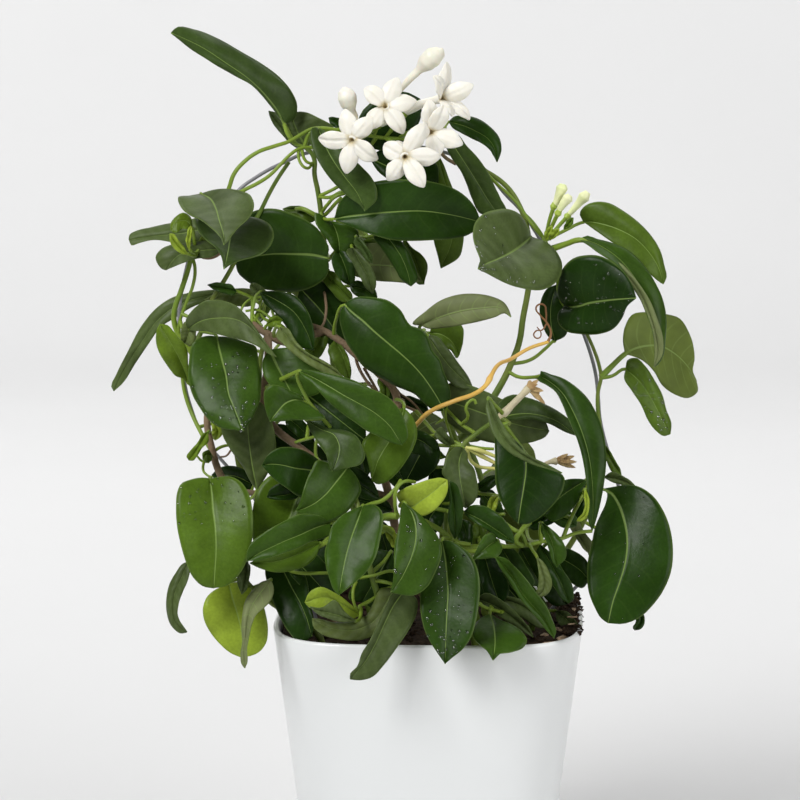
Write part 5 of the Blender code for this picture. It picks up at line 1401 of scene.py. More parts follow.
grow_shoot("vine_low_right", STEMS["vine_low_right"], [
    leaf("mid", -84, -106, "404 502, 411 511, 415 523, 416 535, 413 552, 407 567, 400 580, 391 592",
         "401 508, 400 518, 398 530, 395 543, 394 556, 394 570, 393 582",
         "411 508, 420 515, 430 526, 438 537, 442 548, 440 561, 435 573, 427 587, 415 595, 402 595",
         dew=(22, 0.2, 0.8)),
    leaf("deep", -78, -106, "442 541, 445 556, 447 575, 448 593, 447 612, 446 632, 445 664",
         "434 549, 427 563, 422 580, 420 597, 421 615, 425 631, 431 643, 438 654",
         "450 541, 462 547, 472 557, 478 571, 480 587, 479 603, 476 621, 471 637, 462 650, 452 658",
         back=(-2, -5), dew=(130, 0.1, 0.9)),
    leaf("mid", -62, -102, "490 614, 494 628, 495 642, 493 660", "480 619, 474 626, 473 636, 480 645, 488 652",
         "500 620, 512 625, 522 632, 527 641, 524 647, 512 652, 500 654", arch=9),
    leaf("slate", -46, -56, "478 599, 495 606, 512 617, 524 627, 533 637",
         "485 593, 498 598, 511 608, 523 620, 531 631", "483 608, 495 614, 508 622, 522 631"),
    leaf("mid", -74, -78, "495 556, 505 567, 514 579, 522 593, 533 606, 544 619, 554 638",
         "499 566, 509 580, 517 594, 527 607, 538 619, 548 632",
         "505 558, 515 567, 526 579, 536 592, 545 604, 552 619, 556 632", back=(-2, -3)),
    leaf("mid", -66, -76, "542 523, 549 535, 554 549, 557 567", "541 530, 546 541, 550 552, 553 562",
         "550 528, 560 538, 566 549, 565 559, 560 564"),
    leaf("dark", -46, -54, "540 545, 550 562, 560 581, 569 603", "536 552, 546 570, 555 588, 563 600",
         "550 552, 563 570, 572 585, 573 597"),
    leaf("dark", -34, -40, "556 556, 568 562, 580 570, 589 580", "564 548, 576 552, 587 561",
         "562 572, 572 583, 582 588"),
    leaf("dark", -60, -80, "497 428, 512 438, 524 450, 526 466, 524 485, 521 503, 518 523",
         "495 440, 495 455, 495 470, 496 485, 500 499, 507 512, 513 519",
         "506 444, 519 455, 537 465, 556 471, 564 477, 563 489, 557 500, 547 511, 536 520, 526 524",
         back=(-1.5, 3)),
    leaf("grey", -72, -92, "488 399, 492 412, 498 425, 504 437, 514 448, 532 460, 562 473",
         "491 401, 497 413, 504 426, 511 437, 519 447, 531 456, 546 464",
         "486 406, 488 419, 492 431, 498 441, 508 451, 530 463"),
    leaf("dark", -24, -30, "470 494, 482 486, 497 476", "474 487, 484 479, 493 475",
         "476 498, 488 491, 497 482"),
    leaf("dark", -24, -30, "528 526, 542 520, 558 512", "534 519, 545 514, 555 510",
         "534 530, 546 526, 557 519"),
    leaf("deep", -38, -48, "586 480, 573 488, 559 498, 545 514", "578 479, 565 480, 553 489, 545 502",
         "583 492, 573 508, 562 518, 551 521"),
    leaf("ashen", -26, -30, "446 400, 480 412, 515 424, 549 431",
         "448 384, 465 384, 485 391, 508 402, 530 412, 545 421",
         "442 412, 458 430, 484 441, 515 444, 536 441, 546 436"),
    leaf("dusky", -42, -23, "498 419, 512 415, 530 414, 552 419, 577 436",
         "499 403, 512 395, 528 398, 548 406, 563 415, 574 425", "510 420, 530 419, 550 424, 566 432",
         back=(3, -1)),
    leaf("lime", -76, -86, "404 505, 410 507, 422 500, 433 492, 441 485, 447 480",
         "398 499, 397 494, 405 488, 418 483, 431 479, 441 478",
         "412 514, 422 516, 432 512, 441 503, 447 493, 448 486"),
    leaf("slate", -60, -72, "463 448, 459 462, 460 478, 463 494, 466 508",
         "456 447, 449 453, 445 463, 442 473, 447 480, 452 492, 458 503",
         "467 453, 468 461, 474 469, 477 481, 478 493, 474 502", arch=6),
    leaf("deep", -74, -84, "464 512, 477 518, 490 526, 502 534, 514 543",
         "470 506, 484 506, 497 513, 507 523, 513 534", "470 519, 486 529, 500 539"),
    simple_leaf("dark", (430, 436, -42), (405, 483, -54), 22, "small", arch=2, fold=8),
    # small growth that the plain model leaves out
    leaf("pale", -72, -76, "537 557, 542 570, 545 584, 541 593, 533 596", "538 567, 539 577, 538 587, 536 592",
         "543 562, 549 573, 552 585, 548 593, 540 597"),
    leaf("deep", -72, -80, "455 539, 455 525, 454 510, 452 495, 450 481", "450 530, 448 515, 450 500, 449 487",
         "460 530, 463 512, 461 495, 456 484"),
    leaf("mid", -84, -90, "497 540, 488 546, 480 553, 473 559", "492 533, 485 535, 480 542, 476 551",
         "502 548, 498 556, 488 558, 479 559"),
    leaf("lime", -58, -62, "585 490, 587 504, 584 515, 577 521", "588 495, 589 506, 587 516, 581 521",
         "584 497, 585 507, 582 514, 578 519"),
    leaf("lime", -60, -66, "498 496, 493 503, 491 513", "492 496, 488 503, 488 510",
         "498 502, 496 509, 493 513"),
    leaf("slate", -26, -30, "556 611, 566 619, 579 630", "565 611, 575 620", "557 620, 568 630"),
    leaf("dark", -40, -50, "500 545, 512 565, 526 590", "512 548, 526 566, 534 584",
         "498 558, 506 578, 518 592"),
    leaf("dark", -30, -44, "482 545, 490 575, 500 604", "495 550, 506 575, 508 596",
         "478 560, 480 580, 490 600"),
    leaf("deep", -36, -44, "520 548, 530 566, 541 585", "530 548, 541 562, 545 578",
         "518 558, 525 574, 534 586"),
    leaf("dark", -34, -40, "430 470, 440 490, 442 515", "440 468, 450 490, 449 508",
         "428 482, 431 500, 436 514"),
    leaf("dark", -40, -48, "440 505, 430 518, 428 532", "432 502, 422 514, 422 526",
         "444 515, 440 528, 433 534"),
    leaf("deep", -32, -38, "482 494, 492 505, 500 520", "490 492, 500 503, 504 516",
         "480 503, 487 514, 496 522"),
    leaf("olive", -50, -52, "478 520, 480 532, 476 545", "484 522, 486 534, 481 544",
         "474 524, 473 536, 473 543"),
    leaf("dark", -36, -44, "462 520, 466 534, 462 548", "470 522, 474 536, 468 548",
         "456 526, 458 538, 459 547"),
    leaf("dark", -44, -46, "400 436, 420 440, 436 452", "410 430, 428 434, 438 444",
         "402 446, 415 454, 430 458"),
    leaf("deep", -30, -34, "545 508, 558 516, 576 526", "553 503, 567 509, 577 519",
         "543 514, 552 521, 566 528"),
    leaf("dark", -24, -28, "590 486, 582 502, 574 520", "585 492, 576 504, 572 514",
         "590 496, 586 508, 580 518"),
    leaf("dark", -20, -24, "478 556, 505 585, 532 614", "500 556, 530 582, 547 612",
         "468 574, 484 600, 506 620"),
    leaf("slate", -40, -46, "494 597, 520 605, 549 628", "505 596, 528 603, 545 616",
         "502 605, 520 616, 540 628"),
    leaf("dark", -24, -28, "484 492, 490 502, 498 512", "492 490, 498 498, 502 506",
         "480 494, 484 504, 491 511"),
    leaf("dark", -18, -20, "540 566, 552 584, 566 604", "552 562, 566 580, 573 600",
         "534 576, 542 594, 556 606"),
])

# %% [markdown]
# ## Bare twigs
#
# Between the leaves a twiner is full of thin stalks: leaf stalks that have lost their leaf, tips still looking for
# a hold, and swollen nodes. They are thin tubes on the same sight lines, each beginning on a stem.

# %% Bare twigs
TWIGS = [
    (1.2, 1.0, [(321, 218, 2), (328, 212, 0), (335, 204, -6), (341, 198, -10)]),
    (1.1, 0.9, [(284, 124, -6), (288, 135, -7), (296, 144, -6), (306, 147, -5), (313, 148, -5)]),
    (0.9, 0.8, [(298, 150, -6), (300, 162, -8), (306, 168, -9), (312, 165, -4)]),
    (0.9, 0.8, [(302, 150, -6), (305, 160, -7), (309, 163, -7), (313, 163, -4)]),
    (1.0, 0.9, [(319, 196, 0), (330, 191, -4), (339, 186, -6), (347, 180, -6)]),
    (1.0, 0.9, [(319, 197, 0), (331, 197, -5), (341, 192, -8), (352, 190, -8)]),
    (1.0, 0.9, [(322, 212, 2), (328, 204, -5), (335, 197, -8), (346, 193, -8)]),
    (1.5, 1.2, [(322, 219, 3), (313, 214, 2), (303, 209, 4), (296, 209, 8)]),
    (1.0, 0.8, [(325, 131, -6), (345, 133, -6), (366, 132, -3), (384, 124, -2), (392, 114, -4)]),
    (0.9, 0.7, [(270, 322, -22), (262, 316, -16), (260, 304, -12), (263, 296, -8)]),
    (0.8, 0.7, [(262, 326, -22), (253, 314, -18), (252, 300, -12)]),
    (0.8, 0.7, [(280, 330, -22), (268, 316, -20), (258, 310, -16), (246, 311, -12)]),
    (0.8, 0.7, [(263, 297, -8), (251, 299, -10), (243, 306, -12), (240, 314, -14)]),
    (0.8, 0.7, [(290, 332, -22), (278, 322, -22), (272, 310, -18), (274, 298, -12)]),
    (1.4, 1.2, [(266, 388, -30), (280, 380, -46), (299, 371, -60)]),
    (1.0, 0.8, [(213, 452, -22), (221, 447, -20), (229, 445, -18)]),
    (1.5, 1.4, [(441, 404, -30), (446, 418, -28), (453, 432, -24), (458, 444, -18)]),
    (0.7, 0.6, [(209, 462, -24), (202, 461, -26), (197, 456, -28)]),
    (0.8, 0.6, [(204, 461, -26), (203, 469, -30), (207, 475, -38), (212, 477, -46)]),
    (1.0, 0.9, [(284, 568, -44), (300, 573, -60), (327, 573, -62), (345, 573, -50)]),
    (0.9, 0.8, [(360, 578, -66), (375, 575, -70), (392, 571, -66), (395, 577, -60), (390, 586, -58)]),
    (0.9, 0.8, [(356, 582, -68), (353, 592, -74), (354, 603, -74), (361, 614, -68)]),
    (1.2, 1.0, [(362, 508, -74), (371, 504, -80), (383, 500, -84), (395, 489, -84), (401, 480, -80)]),
    (2.0, 1.8, [(380, 519, -70), (388, 516, -78), (398, 516, -82)]),
    (1.8, 1.6, [(380, 532, -70), (388, 530, -78), (397, 538, -80)]),
    (1.1, 0.9, [(397, 515, -80), (395, 503, -84), (397, 488, -86), (403, 482, -84), (415, 482, -78)]),
    (1.5, 1.3, [(424, 521, -66), (440, 530, -66), (454, 541, -62), (470, 545, -60)]),
    (1.4, 1.2, [(464, 550, -62), (476, 551, -66), (488, 549, -70)]),
    (1.3, 1.1, [(500, 520, -58), (511, 528, -60), (522, 535, -58), (526, 545, -56)]),
    (1.5, 1.3, [(530, 522, -56), (521, 531, -60), (516, 541, -60), (522, 546, -58)]),
    (0.9, 0.7, [(540, 522, -60), (544, 533, -56), (556, 540, -54)]),
    (1.0, 0.8, [(476, 516, -56), (488, 514, -62), (505, 514, -66)]),
    (0.9, 0.8, [(470, 446, -46), (480, 448, -44), (494, 449, -44)]),
    (0.9, 0.8, [(462, 424, -40), (468, 416, -48), (466, 408, -50), (469, 402, -50), (474, 400, -50),
                (476, 404, -50)]),
    (0.9, 0.8, [(455, 446, -18), (449, 430, -30), (445, 412, -40), (447, 404, -44)]),
]
BROWN_TWIGS = [
    (0.8, 0.7, [(322, 278, 6), (325, 296, 0), (326, 312, -8), (322, 326, -16), (316, 330, -20)]),
    (0.6, 0.5, [(231, 450, -30), (226, 456, -24), (220, 457, -20)]),
    (1.1, 1.0, [(438, 149, 6), (446, 158, 4), (456, 164, 2)]),
    (0.9, 0.8, [(364, 368, -14), (371, 380, -12), (379, 394, -12)]),
    (0.7, 0.6, [(352, 352, -20), (368, 362, -16), (384, 378, -14), (398, 392, -14), (412, 402, -14),
                (424, 416, -14)]),
    (0.8, 0.6, [(396, 398, -20), (404, 402, -14), (400, 409, -12), (392, 406, -12), (396, 400, -12)]),
    (1.6, 1.5, [(246, 492, -20), (256, 493, -20), (264, 492, -18)]),
    (0.9, 0.8, [(222, 252, -8), (214, 257, -10), (205, 258, -10), (198, 255, -8)]),
]

twigs = merged("bare_twigs", [
    make_tubes(name, [([spot(*where) for where in spots], tapered(len(spots), first, last))
                      for first, last, spots in lines], finish, sides=8, steps=5)
    for name, lines, finish in (("green_twigs", TWIGS, young_stem), ("brown_twigs", BROWN_TWIGS, old_stem))])
finished(twigs, "leaf_green")
print("bare twigs:", len(TWIGS) + len(BROWN_TWIGS))

# %% [markdown]
# ## The shoots behind
#
# Two more shoots climb behind the hoop. Their leaves face away from the eye, and they close the plant's back. Each
# leaf here has its heel, its tip, its width and its arch, and its twist and bow come from seeded chance.

# %% The back shoots
BACK_SHOOTS = {
    "vine_back_left": {
        "stems": [
            ((-34, 44), 2.3, 1.2, [
                (330, 555, 40), (300, 500, 34), (275, 450, 30), (262, 400, 28), (262, 350, 26), (280, 310, 26),
                (300, 275, 26)]),
            (None, 1.3, 1.0, [(300, 500, 34), (270, 520, 44), (240, 530, 50), (222, 520, 50)]),
        ],
        "leaves": [
            ((292, 276, 28), (244, 240, 32), 26, 5),
            ((302, 268, 34), (322, 306, 56), 26, 5),
            ((250, 350, 34), (214, 410, 46), 32, 6),
            ((268, 396, 32), (328, 412, 56), 24, 5),
            ((264, 424, 32), (254, 484, 48), 26, 5),
            ((288, 468, 36), (334, 496, 60), 28, 5),
            ((300, 500, 38), (268, 536, 64), 26, 5),
            ((230, 520, 50), (200, 486, 56), 26, 5),
            ((238, 538, 56), (222, 586, 76), 30, 5),
            ((310, 540, 44), (280, 586, 64), 28, 5),
            ((340, 552, 52), (352, 622, 124), 32, 15),
        ],
    },
    "vine_back_right": {
        "stems": [
            ((32, 48), 2.3, 1.2, [
                (490, 555, 42), (486, 500, 38), (470, 450, 34), (440, 405, 32), (410, 360, 30), (378, 312, 28),
                (368, 270, 26), (376, 230, 26)]),
            (None, 1.3, 1.0, [(486, 500, 38), (520, 500, 40), (560, 510, 40), (600, 530, 36), (622, 540, 34)]),
        ],
        "leaves": [
            ((388, 228, 30), (442, 214, 40), 28, 5),
            ((366, 234, 30), (340, 200, 42), 26, 5),
            ((382, 316, 32), (398, 366, 50), 28, 6),
            ((420, 376, 34), (442, 350, 50), 22, 5),
            ((446, 416, 36), (400, 446, 58), 24, 5),
            ((460, 432, 36), (508, 412, 52), 28, 5),
            ((490, 470, 44), (536, 462, 74), 30, 5),
            ((484, 520, 44), (440, 548, 56), 28, 6),
            ((516, 506, 50), (522, 566, 74), 26, 5),
            ((624, 532, 34), (642, 492, 44), 28, 5),
            ((604, 540, 42), (620, 596, 58), 30, 5),
            ((482, 548, 62), (462, 622, 128), 32, 15),
        ],
    },
}
BACK_LOOKS = ("deep", "mid", "dark", "grey", "mid", "deep")
BACK_TWIST = 14
BACK_BOW = 1.5
BACK_FOLD = 9


def back_face(heel, tip):
    """The direction that a leaf behind the hoop faces: away from the eye and a little outwards."""
    middle = (heel + tip) / 2
    return Vector((middle.x * 0.6, 0.12, 0.05)).normalized()


for name, shoot in BACK_SHOOTS.items():
    draw = random.Random(name)
    entries = []
    for number, (heel, tip, wide, arch) in enumerate(shoot["leaves"]):
        twist = draw.uniform(-BACK_TWIST, BACK_TWIST)
        bow = draw.uniform(-BACK_BOW, BACK_BOW)
        face = back_face(spot(*heel), spot(*tip))
        entries.append(simple_leaf(BACK_LOOKS[number % len(BACK_LOOKS)], heel, tip, wide, face=face, bow=bow,
                                   arch=arch, fold=BACK_FOLD, twist=twist))
    grow_shoot(name, shoot["stems"], entries)

# %% [markdown]
# ## Dew
#
# A drop on a waxy leaf is a low dome of water. One flattened ball is modelled and copied to each place that was
# noted while the leaves were laid, with its own size and turned to the blade.

# %% Dew drops
DROP_FLATNESS = 0.55
UPRIGHT = Vector((0, 0, 1))


def make_dew():
    """All the drops, as one piece."""
    drop = new_shape("drop", bpy.ops.mesh.primitive_uv_sphere_add, segments=8, ring_count=5, radius=1.0)
    drop.data.transform(Matrix.Diagonal((1.0, 1.0, DROP_FLATNESS, 1.0)))
    copies = []
    for place, normal, size in DEW:
        copy = copied(drop, "drop_copy")
        turn = UPRIGHT.rotation_difference(normal).to_matrix().to_4x4()
        copy.data.transform(Matrix.Translation(place) @ turn @ Matrix.Scale(size, 4))
        copies.append(copy)
    bpy.data.objects.remove(drop)
    whole = merged("dew", copies)
    dressed(whole, dew_water)
    smoothed(whole)
    return whole


finished(make_dew(), "leaf_green")
print("dew:", len(DEW), "drops")

# %% [markdown]
# ## The hoop
#
# The support is one length of coated wire, pushed into the soil at both ends.

# %% The hoop
WIRE_RADIUS = 0.0010
HOOP_FEET = ((-64, 20), (66, 18))
HOOP = [
    (302, 585, 14), (272, 530, 9), (250, 492, 6), (226, 465, 5), (205, 440, 4), (190, 405, 4), (184, 380, 4),
    (180, 348, 4), (179, 318, 4), (181, 295, 4), (186, 270, 4), (190, 256, 4), (201, 238, 4), (220, 213, 4),
    (241, 188, 4), (255, 178, 5), (270, 169, 6), (285, 162, 7), (300, 155, 10), (313, 152, 14), (345, 148, 17),
    (378, 145, 18), (412, 146, 17), (440, 151, 14), (466, 160, 10), (488, 172, 6), (497, 184, 4), (507, 196, 4),
    (517, 206, 4), (525, 216, 4), (538, 236, 4), (552, 262, 4), (568, 298, 5), (584, 335, 6), (595, 371, 6),
    (598, 395, 6), (600, 419, 6), (607, 448, 6), (616, 475, 7), (619, 500, 8), (612, 530, 9), (596, 560, 11),
    (578, 585, 13)]

left_foot, right_foot = (foot_points(place) for place in HOOP_FEET)
hoop_points = left_foot + [spot(*where) for where in HOOP] + list(reversed(right_foot))
hoop = make_tubes("hoop", [(hoop_points, [WIRE_RADIUS] * len(hoop_points))], wire_coat, sides=12, steps=5)
finished(hoop, "wire_grey", "support_hoop")
print("hoop", len(hoop.data.polygons), "faces")

# %% [markdown]
# ## The flowers
#
# Each open flower is a waxy tube that ends in five spreading lobes. The lobes are copies of the petal blank, laid
# from the throat to their tips and made thick with Solidify and one subdivision. The tube is a lathe shape: a
# circle that is extruded and scaled ring by ring, and at its mouth turned back inside, so that the throat is a
# real hole.

# %% Flowers
# each flower: which stem of the top shoot carries it, its throat, and the tips of its five lobes
FLOWERS = {
    "flower_1": (4, (352, 140, -36), (
        (344, 109, -34), (318, 139, -34), (346, 174, -36), (377, 160, -39), (372, 117, -38))),
    "flower_2": (5, (385, 106, -28), (
        (398, 77, -24), (365, 87, -26), (417, 100, -26), (404, 133, -31), (367, 129, -31))),
    "flower_3": (6, (405, 157, -50), (
        (424, 123, -48), (383, 145, -46), (388, 181, -50), (424, 187, -54), (441, 157, -50))),
    "flower_4": (7, (431, 132, -35), (
        (430, 99, -33), (445, 106, -39), (463, 144, -36), (437, 158, -38), (418, 130, -41))),
    "flower_5": (8, (441, 99, -19), (
        (449, 62, -18), (436, 76, -27), (473, 85, -24), (471, 118, -20), (454, 114, -28))),
}
LOBE_WIDE = 10.8
LOBE_THICK = 0.0012
LOBE_START = 0.0012
SEAT_GAP = 0.0003
TUBE_SIDES = 20
TUBE_TINT = 0.35
# The tube's rings: share of the way from foot to throat, radius in millimetres. The last ones go back inside.
TUBE_RINGS = ((0.0, 1.7), (0.06, 2.1), (0.30, 2.7), (0.60, 2.3), (0.84, 2.1), (0.97, 2.5), (1.01, 2.7),
              (1.02, 1.6), (0.97, 0.9), (0.80, 0.6))
RINGS_OUTSIDE = 7


def seat_on(shoot_name, number):
    """Where a flower or bud begins on its stalk, with the stalk's direction there."""
    before, end = stem_course(STEMS[shoot_name][number - 1])[-2:]
    onward = (end - before).normalized()
    return end + onward * SEAT_GAP, onward


def make_tube_blank():
    """The flower's tube, standing on z: each extruded ring keeps its share of the length as its height."""
    rings = [(radius * MM, share) for share, radius in TUBE_RINGS]
    blank = new_shape("blank_tube", bpy.ops.mesh.primitive_circle_add, vertices=TUBE_SIDES, radius=rings[0][0],
                      fill_type="NGON")
    bpy.ops.object.mode_set(mode="EDIT")
    bpy.ops.mesh.select_all(action="SELECT")
    raise_rings(rings[1:], *rings[0])
    end_editing()
    lay = blank.data.attributes.new("lay", "FLOAT_VECTOR", "POINT")
    for index in range(len(blank.data.vertices)):
        inside = index // TUBE_SIDES >= RINGS_OUTSIDE
        lay.data[index].vector = (0.5, 0.0 if inside else TUBE_TINT, 0.0)
    blank.hide_render = True
    return blank


TUBE_BLANK = make_tube_blank()


def lay_tube(name, base, onward, throat):
    """A copy of the tube, bent from its seat to the throat."""
    copy = copied(TUBE_BLANK, name)
    control = base + onward * (throat - base).length * 0.3
    for vertex in copy.data.vertices:
        share = vertex.co.z
        centre = base * (1 - share) ** 2 + control * 2 * share * (1 - share) + throat * share ** 2
        tangent = ((control - base) * (1 - share) + (throat - control) * share).normalized()
        turn = UPRIGHT.rotation_difference(tangent)
        vertex.co = centre + turn @ Vector((vertex.co.x, vertex.co.y, 0.0))
    return copy


def make_flower(name, number, throat, tips):
    """One open flower, of its tube and five lobes."""
    base, onward = seat_on("vine_top", number)
    middle = spot(*throat)
    axis = (middle - base).normalized()
    tube = lay_tube(name + "_tube", base, onward, middle)
    dressed(tube, petal_skin)
    smoothed(tube)
    lobes = []
    for index, where in enumerate(tips, 1):
        end = spot(*where)
        start = middle + (end - middle).normalized() * LOBE_START
        lobes.append(lay_leaf(f"{name}_lobe_{index}", BLANKS["petal"], start, end, axis, LOBE_WIDE, arch=1.5,
                              fold=-12 if index % 2 else 8, curl=0.24, wave=0.09, hook=1.8, twist=10))
    lobes = merged(name + "_lobes", lobes)
    dressed(lobes, petal_skin)
    apply_modifier(lobes, "SOLIDIFY", thickness=LOBE_THICK, offset=0.0, use_even_offset=False)
    apply_modifier(lobes, "SUBSURF", levels=1, render_levels=1)
    smoothed(lobes)
    return finished(merged(name + "_bloom", [lobes, tube]), "petal_ivory", name)


for name, (number, throat, tips) in FLOWERS.items():
    flower = make_flower(name, number, throat, tips)
    print(flower.name, len(flower.data.polygons), "faces")

# %% [markdown]
# ## Buds, withered flowers and the yellow runner
#
# A bud is a stalk-like tube that swells into a pointed egg, so it is a bevelled curve whose radius changes along
# its line. The dry flowers keep a papery tube with a few ragged strips. The old runner is smooth and yellow, and
# its end is a thin brown tendril that curls on itself.

# %% Buds
# each bud: the shoot and the stem that carry it, its radius at the stalk, and its course with radii in millimetres
BUDS = {
    "flower_bud_large": ("vine_top", 9, 1.4, [
        (408, 81, -13, 1.9), (419, 70, -15, 2.3), (426, 63, -16, 4.9), (433, 57, -17, 5.4), (440, 52, -18, 3.6),
        (443, 49, -18.5, 0.8)]),
    "flower_bud_small": ("vine_top", 10, 1.4, [
        (352, 111, -18, 2.2), (349, 104, -19, 4.6), (347, 97, -20, 5.2), (345, 91, -20, 3.8),
        (344, 87, -20, 0.9)]),
    "side_bud_1": ("vine_right", 5, 1.2, [(556, 203, -9.5, 1.8), (559, 195, -10, 2.3), (562, 188, -10, 3.2),
                                          (563, 184, -10, 1.8)]),
    "side_bud_2": ("vine_right", 6, 1.2, [(560, 209, -15, 1.7), (564, 203, -15, 2.3), (568, 198, -15, 2.9),
                                          (570, 195, -15, 1.5)]),
    "side_bud_3": ("vine_right", 7, 1.2, [(573, 210, 9, 1.7), (579, 203, 9, 2.2), (584, 197, 9, 3.3),
                                          (588, 192, 9, 1.7)]),
}


# the green cup below a side bud: how far along, and how wide, in metres
CALYX_RINGS = ((-0.0012, 0.0010), (0.0010, 0.0021), (0.0034, 0.0014))


def spots_and_radii(spots):
    """The points of a line of spots, and their radii in metres."""
    return [spot(*where[:3]) for where in spots], [where[3] * MM for where in spots]


for name, (shoot_name, number, radius, spots) in BUDS.items():
    base, onward = seat_on(shoot_name, number)
    points, radii = spots_and_radii(spots)
    side_bud = name.startswith("side")
    bud = make_tubes(name + "_skin", [([base, base + onward * 0.001] + points, [radius * MM] * 2 + radii)],
                     bud_skin if side_bud else white_bud_skin, sides=16, steps=6)
    if side_bud:
        cup = [base + onward * along for along, _ in CALYX_RINGS]
        calyx = make_tubes(name + "_calyx", [(cup, [radius for _, radius in CALYX_RINGS])], calyx_skin, sides=12)
        bud = merged(name + "_bud", [bud, calyx])
    finished(bud, "bud_green" if side_bud else "petal_ivory", name)
print("buds:", len(BUDS))

# %% Withered flowers
# each withered flower: the course of its tube with radii, the tips of its dry strips, and their width
DRIED = {
    "dried_flower_1": (
        [(498.0, 418.2, -50.4, 1.6), (504.0, 413.2, -50.4, 2.4), (512, 405, -51, 1.8), (522, 395, -52, 1.7),
         (529, 388, -52, 2.3)],
        [(538, 380, -52), (536, 385, -56), (543, 391, -54), (540, 394, -49), (545, 404, -51), (530, 380, -50)],
        3.0),
    "dried_flower_2": (
        [(543.5, 464.6, -35.6, 1.0), (550, 462, -35, 1.2), (556, 461, -34, 2.2)],
        [(575, 456, -30), (577, 462, -32), (576, 468, -30), (568, 454, -33), (572, 467, -28)], 2.6),
}

STRIP_THICK = 0.0006
STRIP_OVERLAP = 0.002

for name, (spots, tips, strip_wide) in DRIED.items():
    points, radii = spots_and_radii(spots)
    tube = make_tubes(name + "_tube", [(points, radii)], dry_tube_skin, sides=12, steps=6)
    neck = points[-1]
    strips = []
    for number, where in enumerate(tips, 1):
        end = spot(*where)
        start = neck - (end - neck).normalized() * STRIP_OVERLAP
        strips.append(lay_leaf(f"{name}_strip_{number}", BLANKS["petal"], start, end, leaf_face(start, end),
                               strip_wide, arch=1.0, fold=24, curl=0.6, wave=0.4, hook=1.2, twist=60))
    strips = merged(name + "_strips", strips)
    dressed(strips, dry_skin)
    apply_modifier(strips, "SOLIDIFY", thickness=STRIP_THICK, offset=0.0, use_even_offset=False)
    smoothed(strips)
    finished(merged(name + "_withered", [tube, strips]), "dry_tan", name)
print("withered flowers:", len(DRIED))

# %% The yellow runner and the pale shoots
RUNNER = [
    (381.9, 448.3, -27.4, 1.2), (402, 440, -34, 1.25), (417, 424, -40, 1.25), (431, 411, -54, 1.25),
    (454, 401, -62, 1.2), (476, 393, -60, 1.2), (486, 385, -58, 1.2), (489.5, 379, -56, 1.7), (492, 374, -54, 1.15),
    (498, 365, -48, 1.1), (511, 359, -38, 1.05), (530, 348, -30, 1.0), (548, 342, -26, 0.9)]
TENDRIL = [
    (548, 342, -26, 0.9), (551, 333, -24, 0.6), (547, 323, -22, 0.55), (540, 315, -21, 0.5), (536, 309, -21, 0.5),
    (538, 305, -21, 0.5), (544, 305, -21, 0.5), (546, 312, -20, 0.5), (546, 322, -20, 0.45)]
CURL = [
    (547, 323, -22, 0.45), (542, 330, -22, 0.4), (536, 331, -21, 0.4), (534, 336, -21, 0.4), (539, 338, -21, 0.4),
    (541, 333, -20, 0.35), (537, 327, -20, 0.3)]
PALE_SHOOTS = [
    [(466, 447.5, -51.5, 0.9), (478, 450, -54, 1.3), (497, 457, -54, 0.9)],
    [(466, 447.5, -51.5, 0.9), (480, 455, -52, 1.3), (497, 464, -52, 0.9)],
    [(466, 447.5, -51.5, 0.9), (474, 464, -50, 1.0), (497, 469, -50, 0.9)],
]

runner = merged("runner", [
    make_tubes("runner_old", [spots_and_radii(RUNNER)], runner_skin, sides=10, steps=6),
    make_tubes("runner_tip", [spots_and_radii(line) for line in (TENDRIL, CURL)], tendril_skin, sides=8, steps=8)])
finished(runner, "runner_yellow", "yellow_runner")
pale = make_tubes("pale_shoots", [spots_and_radii(line) for line in PALE_SHOOTS], pale_shoot, sides=10, steps=6)
finished(pale, "shoot_yellow", "yellow_shoots")
print("runner", len(runner.data.polygons), "faces, pale shoots", len(pale.data.polygons), "faces")

# %% [markdown]
# ## The planter
#
# The pot is one glossy moulding: a square with very round corners that narrows towards its base. It starts as a
# circle whose points are pushed out to that rounded square, and the walls are extruded ring by ring, up the
# outside, over a small soft rim and down the inside.

# %% The planter
POT_LOW, POT_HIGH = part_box("planter")
POT_HEIGHT = POT_HIGH.z - POT_LOW.z
POT_RIM_HALF = 0.0848
POT_BASE_HALF = 0.0640
POT_WALL = 0.0030
POT_FLOOR = 0.0045
# the rings of the rounded foot: how far in from the base, and how high
POT_FOOT = ((0.0030, 0.0), (0.0008, 0.0005), (0.0, 0.0022))
POT_INNER_RING = 0.10
LIP_STEPS = 6
POT_POWER = 4.0
POT_YAW = math.radians(-2.5)
POT_POINTS = 144
CORNER_EASE = 0.16
POT_SHARP = math.radians(35)


def half_at(z):
    """The planter's outer half width at a height."""
    return POT_BASE_HALF + (POT_RIM_HALF - POT_BASE_HALF) * z / POT_HEIGHT


def round_square(angle, half):
    """A point of the planter's plan at an angle."""
    c, s = math.cos(angle), math.sin(angle)
    x = half * math.copysign(abs(c) ** (2 / POT_POWER), c)
    y = half * math.copysign(abs(s) ** (2 / POT_POWER), s)
    return (x * math.cos(POT_YAW) - y * math.sin(POT_YAW), x * math.sin(POT_YAW) + y * math.cos(POT_YAW))


def start_round_square(name, half, z, points=POT_POINTS):
    """A filled plan of the planter at a height, in edit mode with all of it selected."""
    thing = new_shape(name, bpy.ops.mesh.primitive_circle_add, vertices=points, radius=1.0, fill_type="NGON")
    for vertex in thing.data.vertices:
        angle = math.atan2(vertex.co.y, vertex.co.x)
        # even spacing round the corners: the angle is eased towards the diagonals
        eased = angle - CORNER_EASE * math.sin(4 * angle)
        vertex.co = (*round_square(eased, half), z)
    bpy.ops.object.mode_set(mode="EDIT")
    bpy.ops.mesh.select_all(action="SELECT")
    return thing


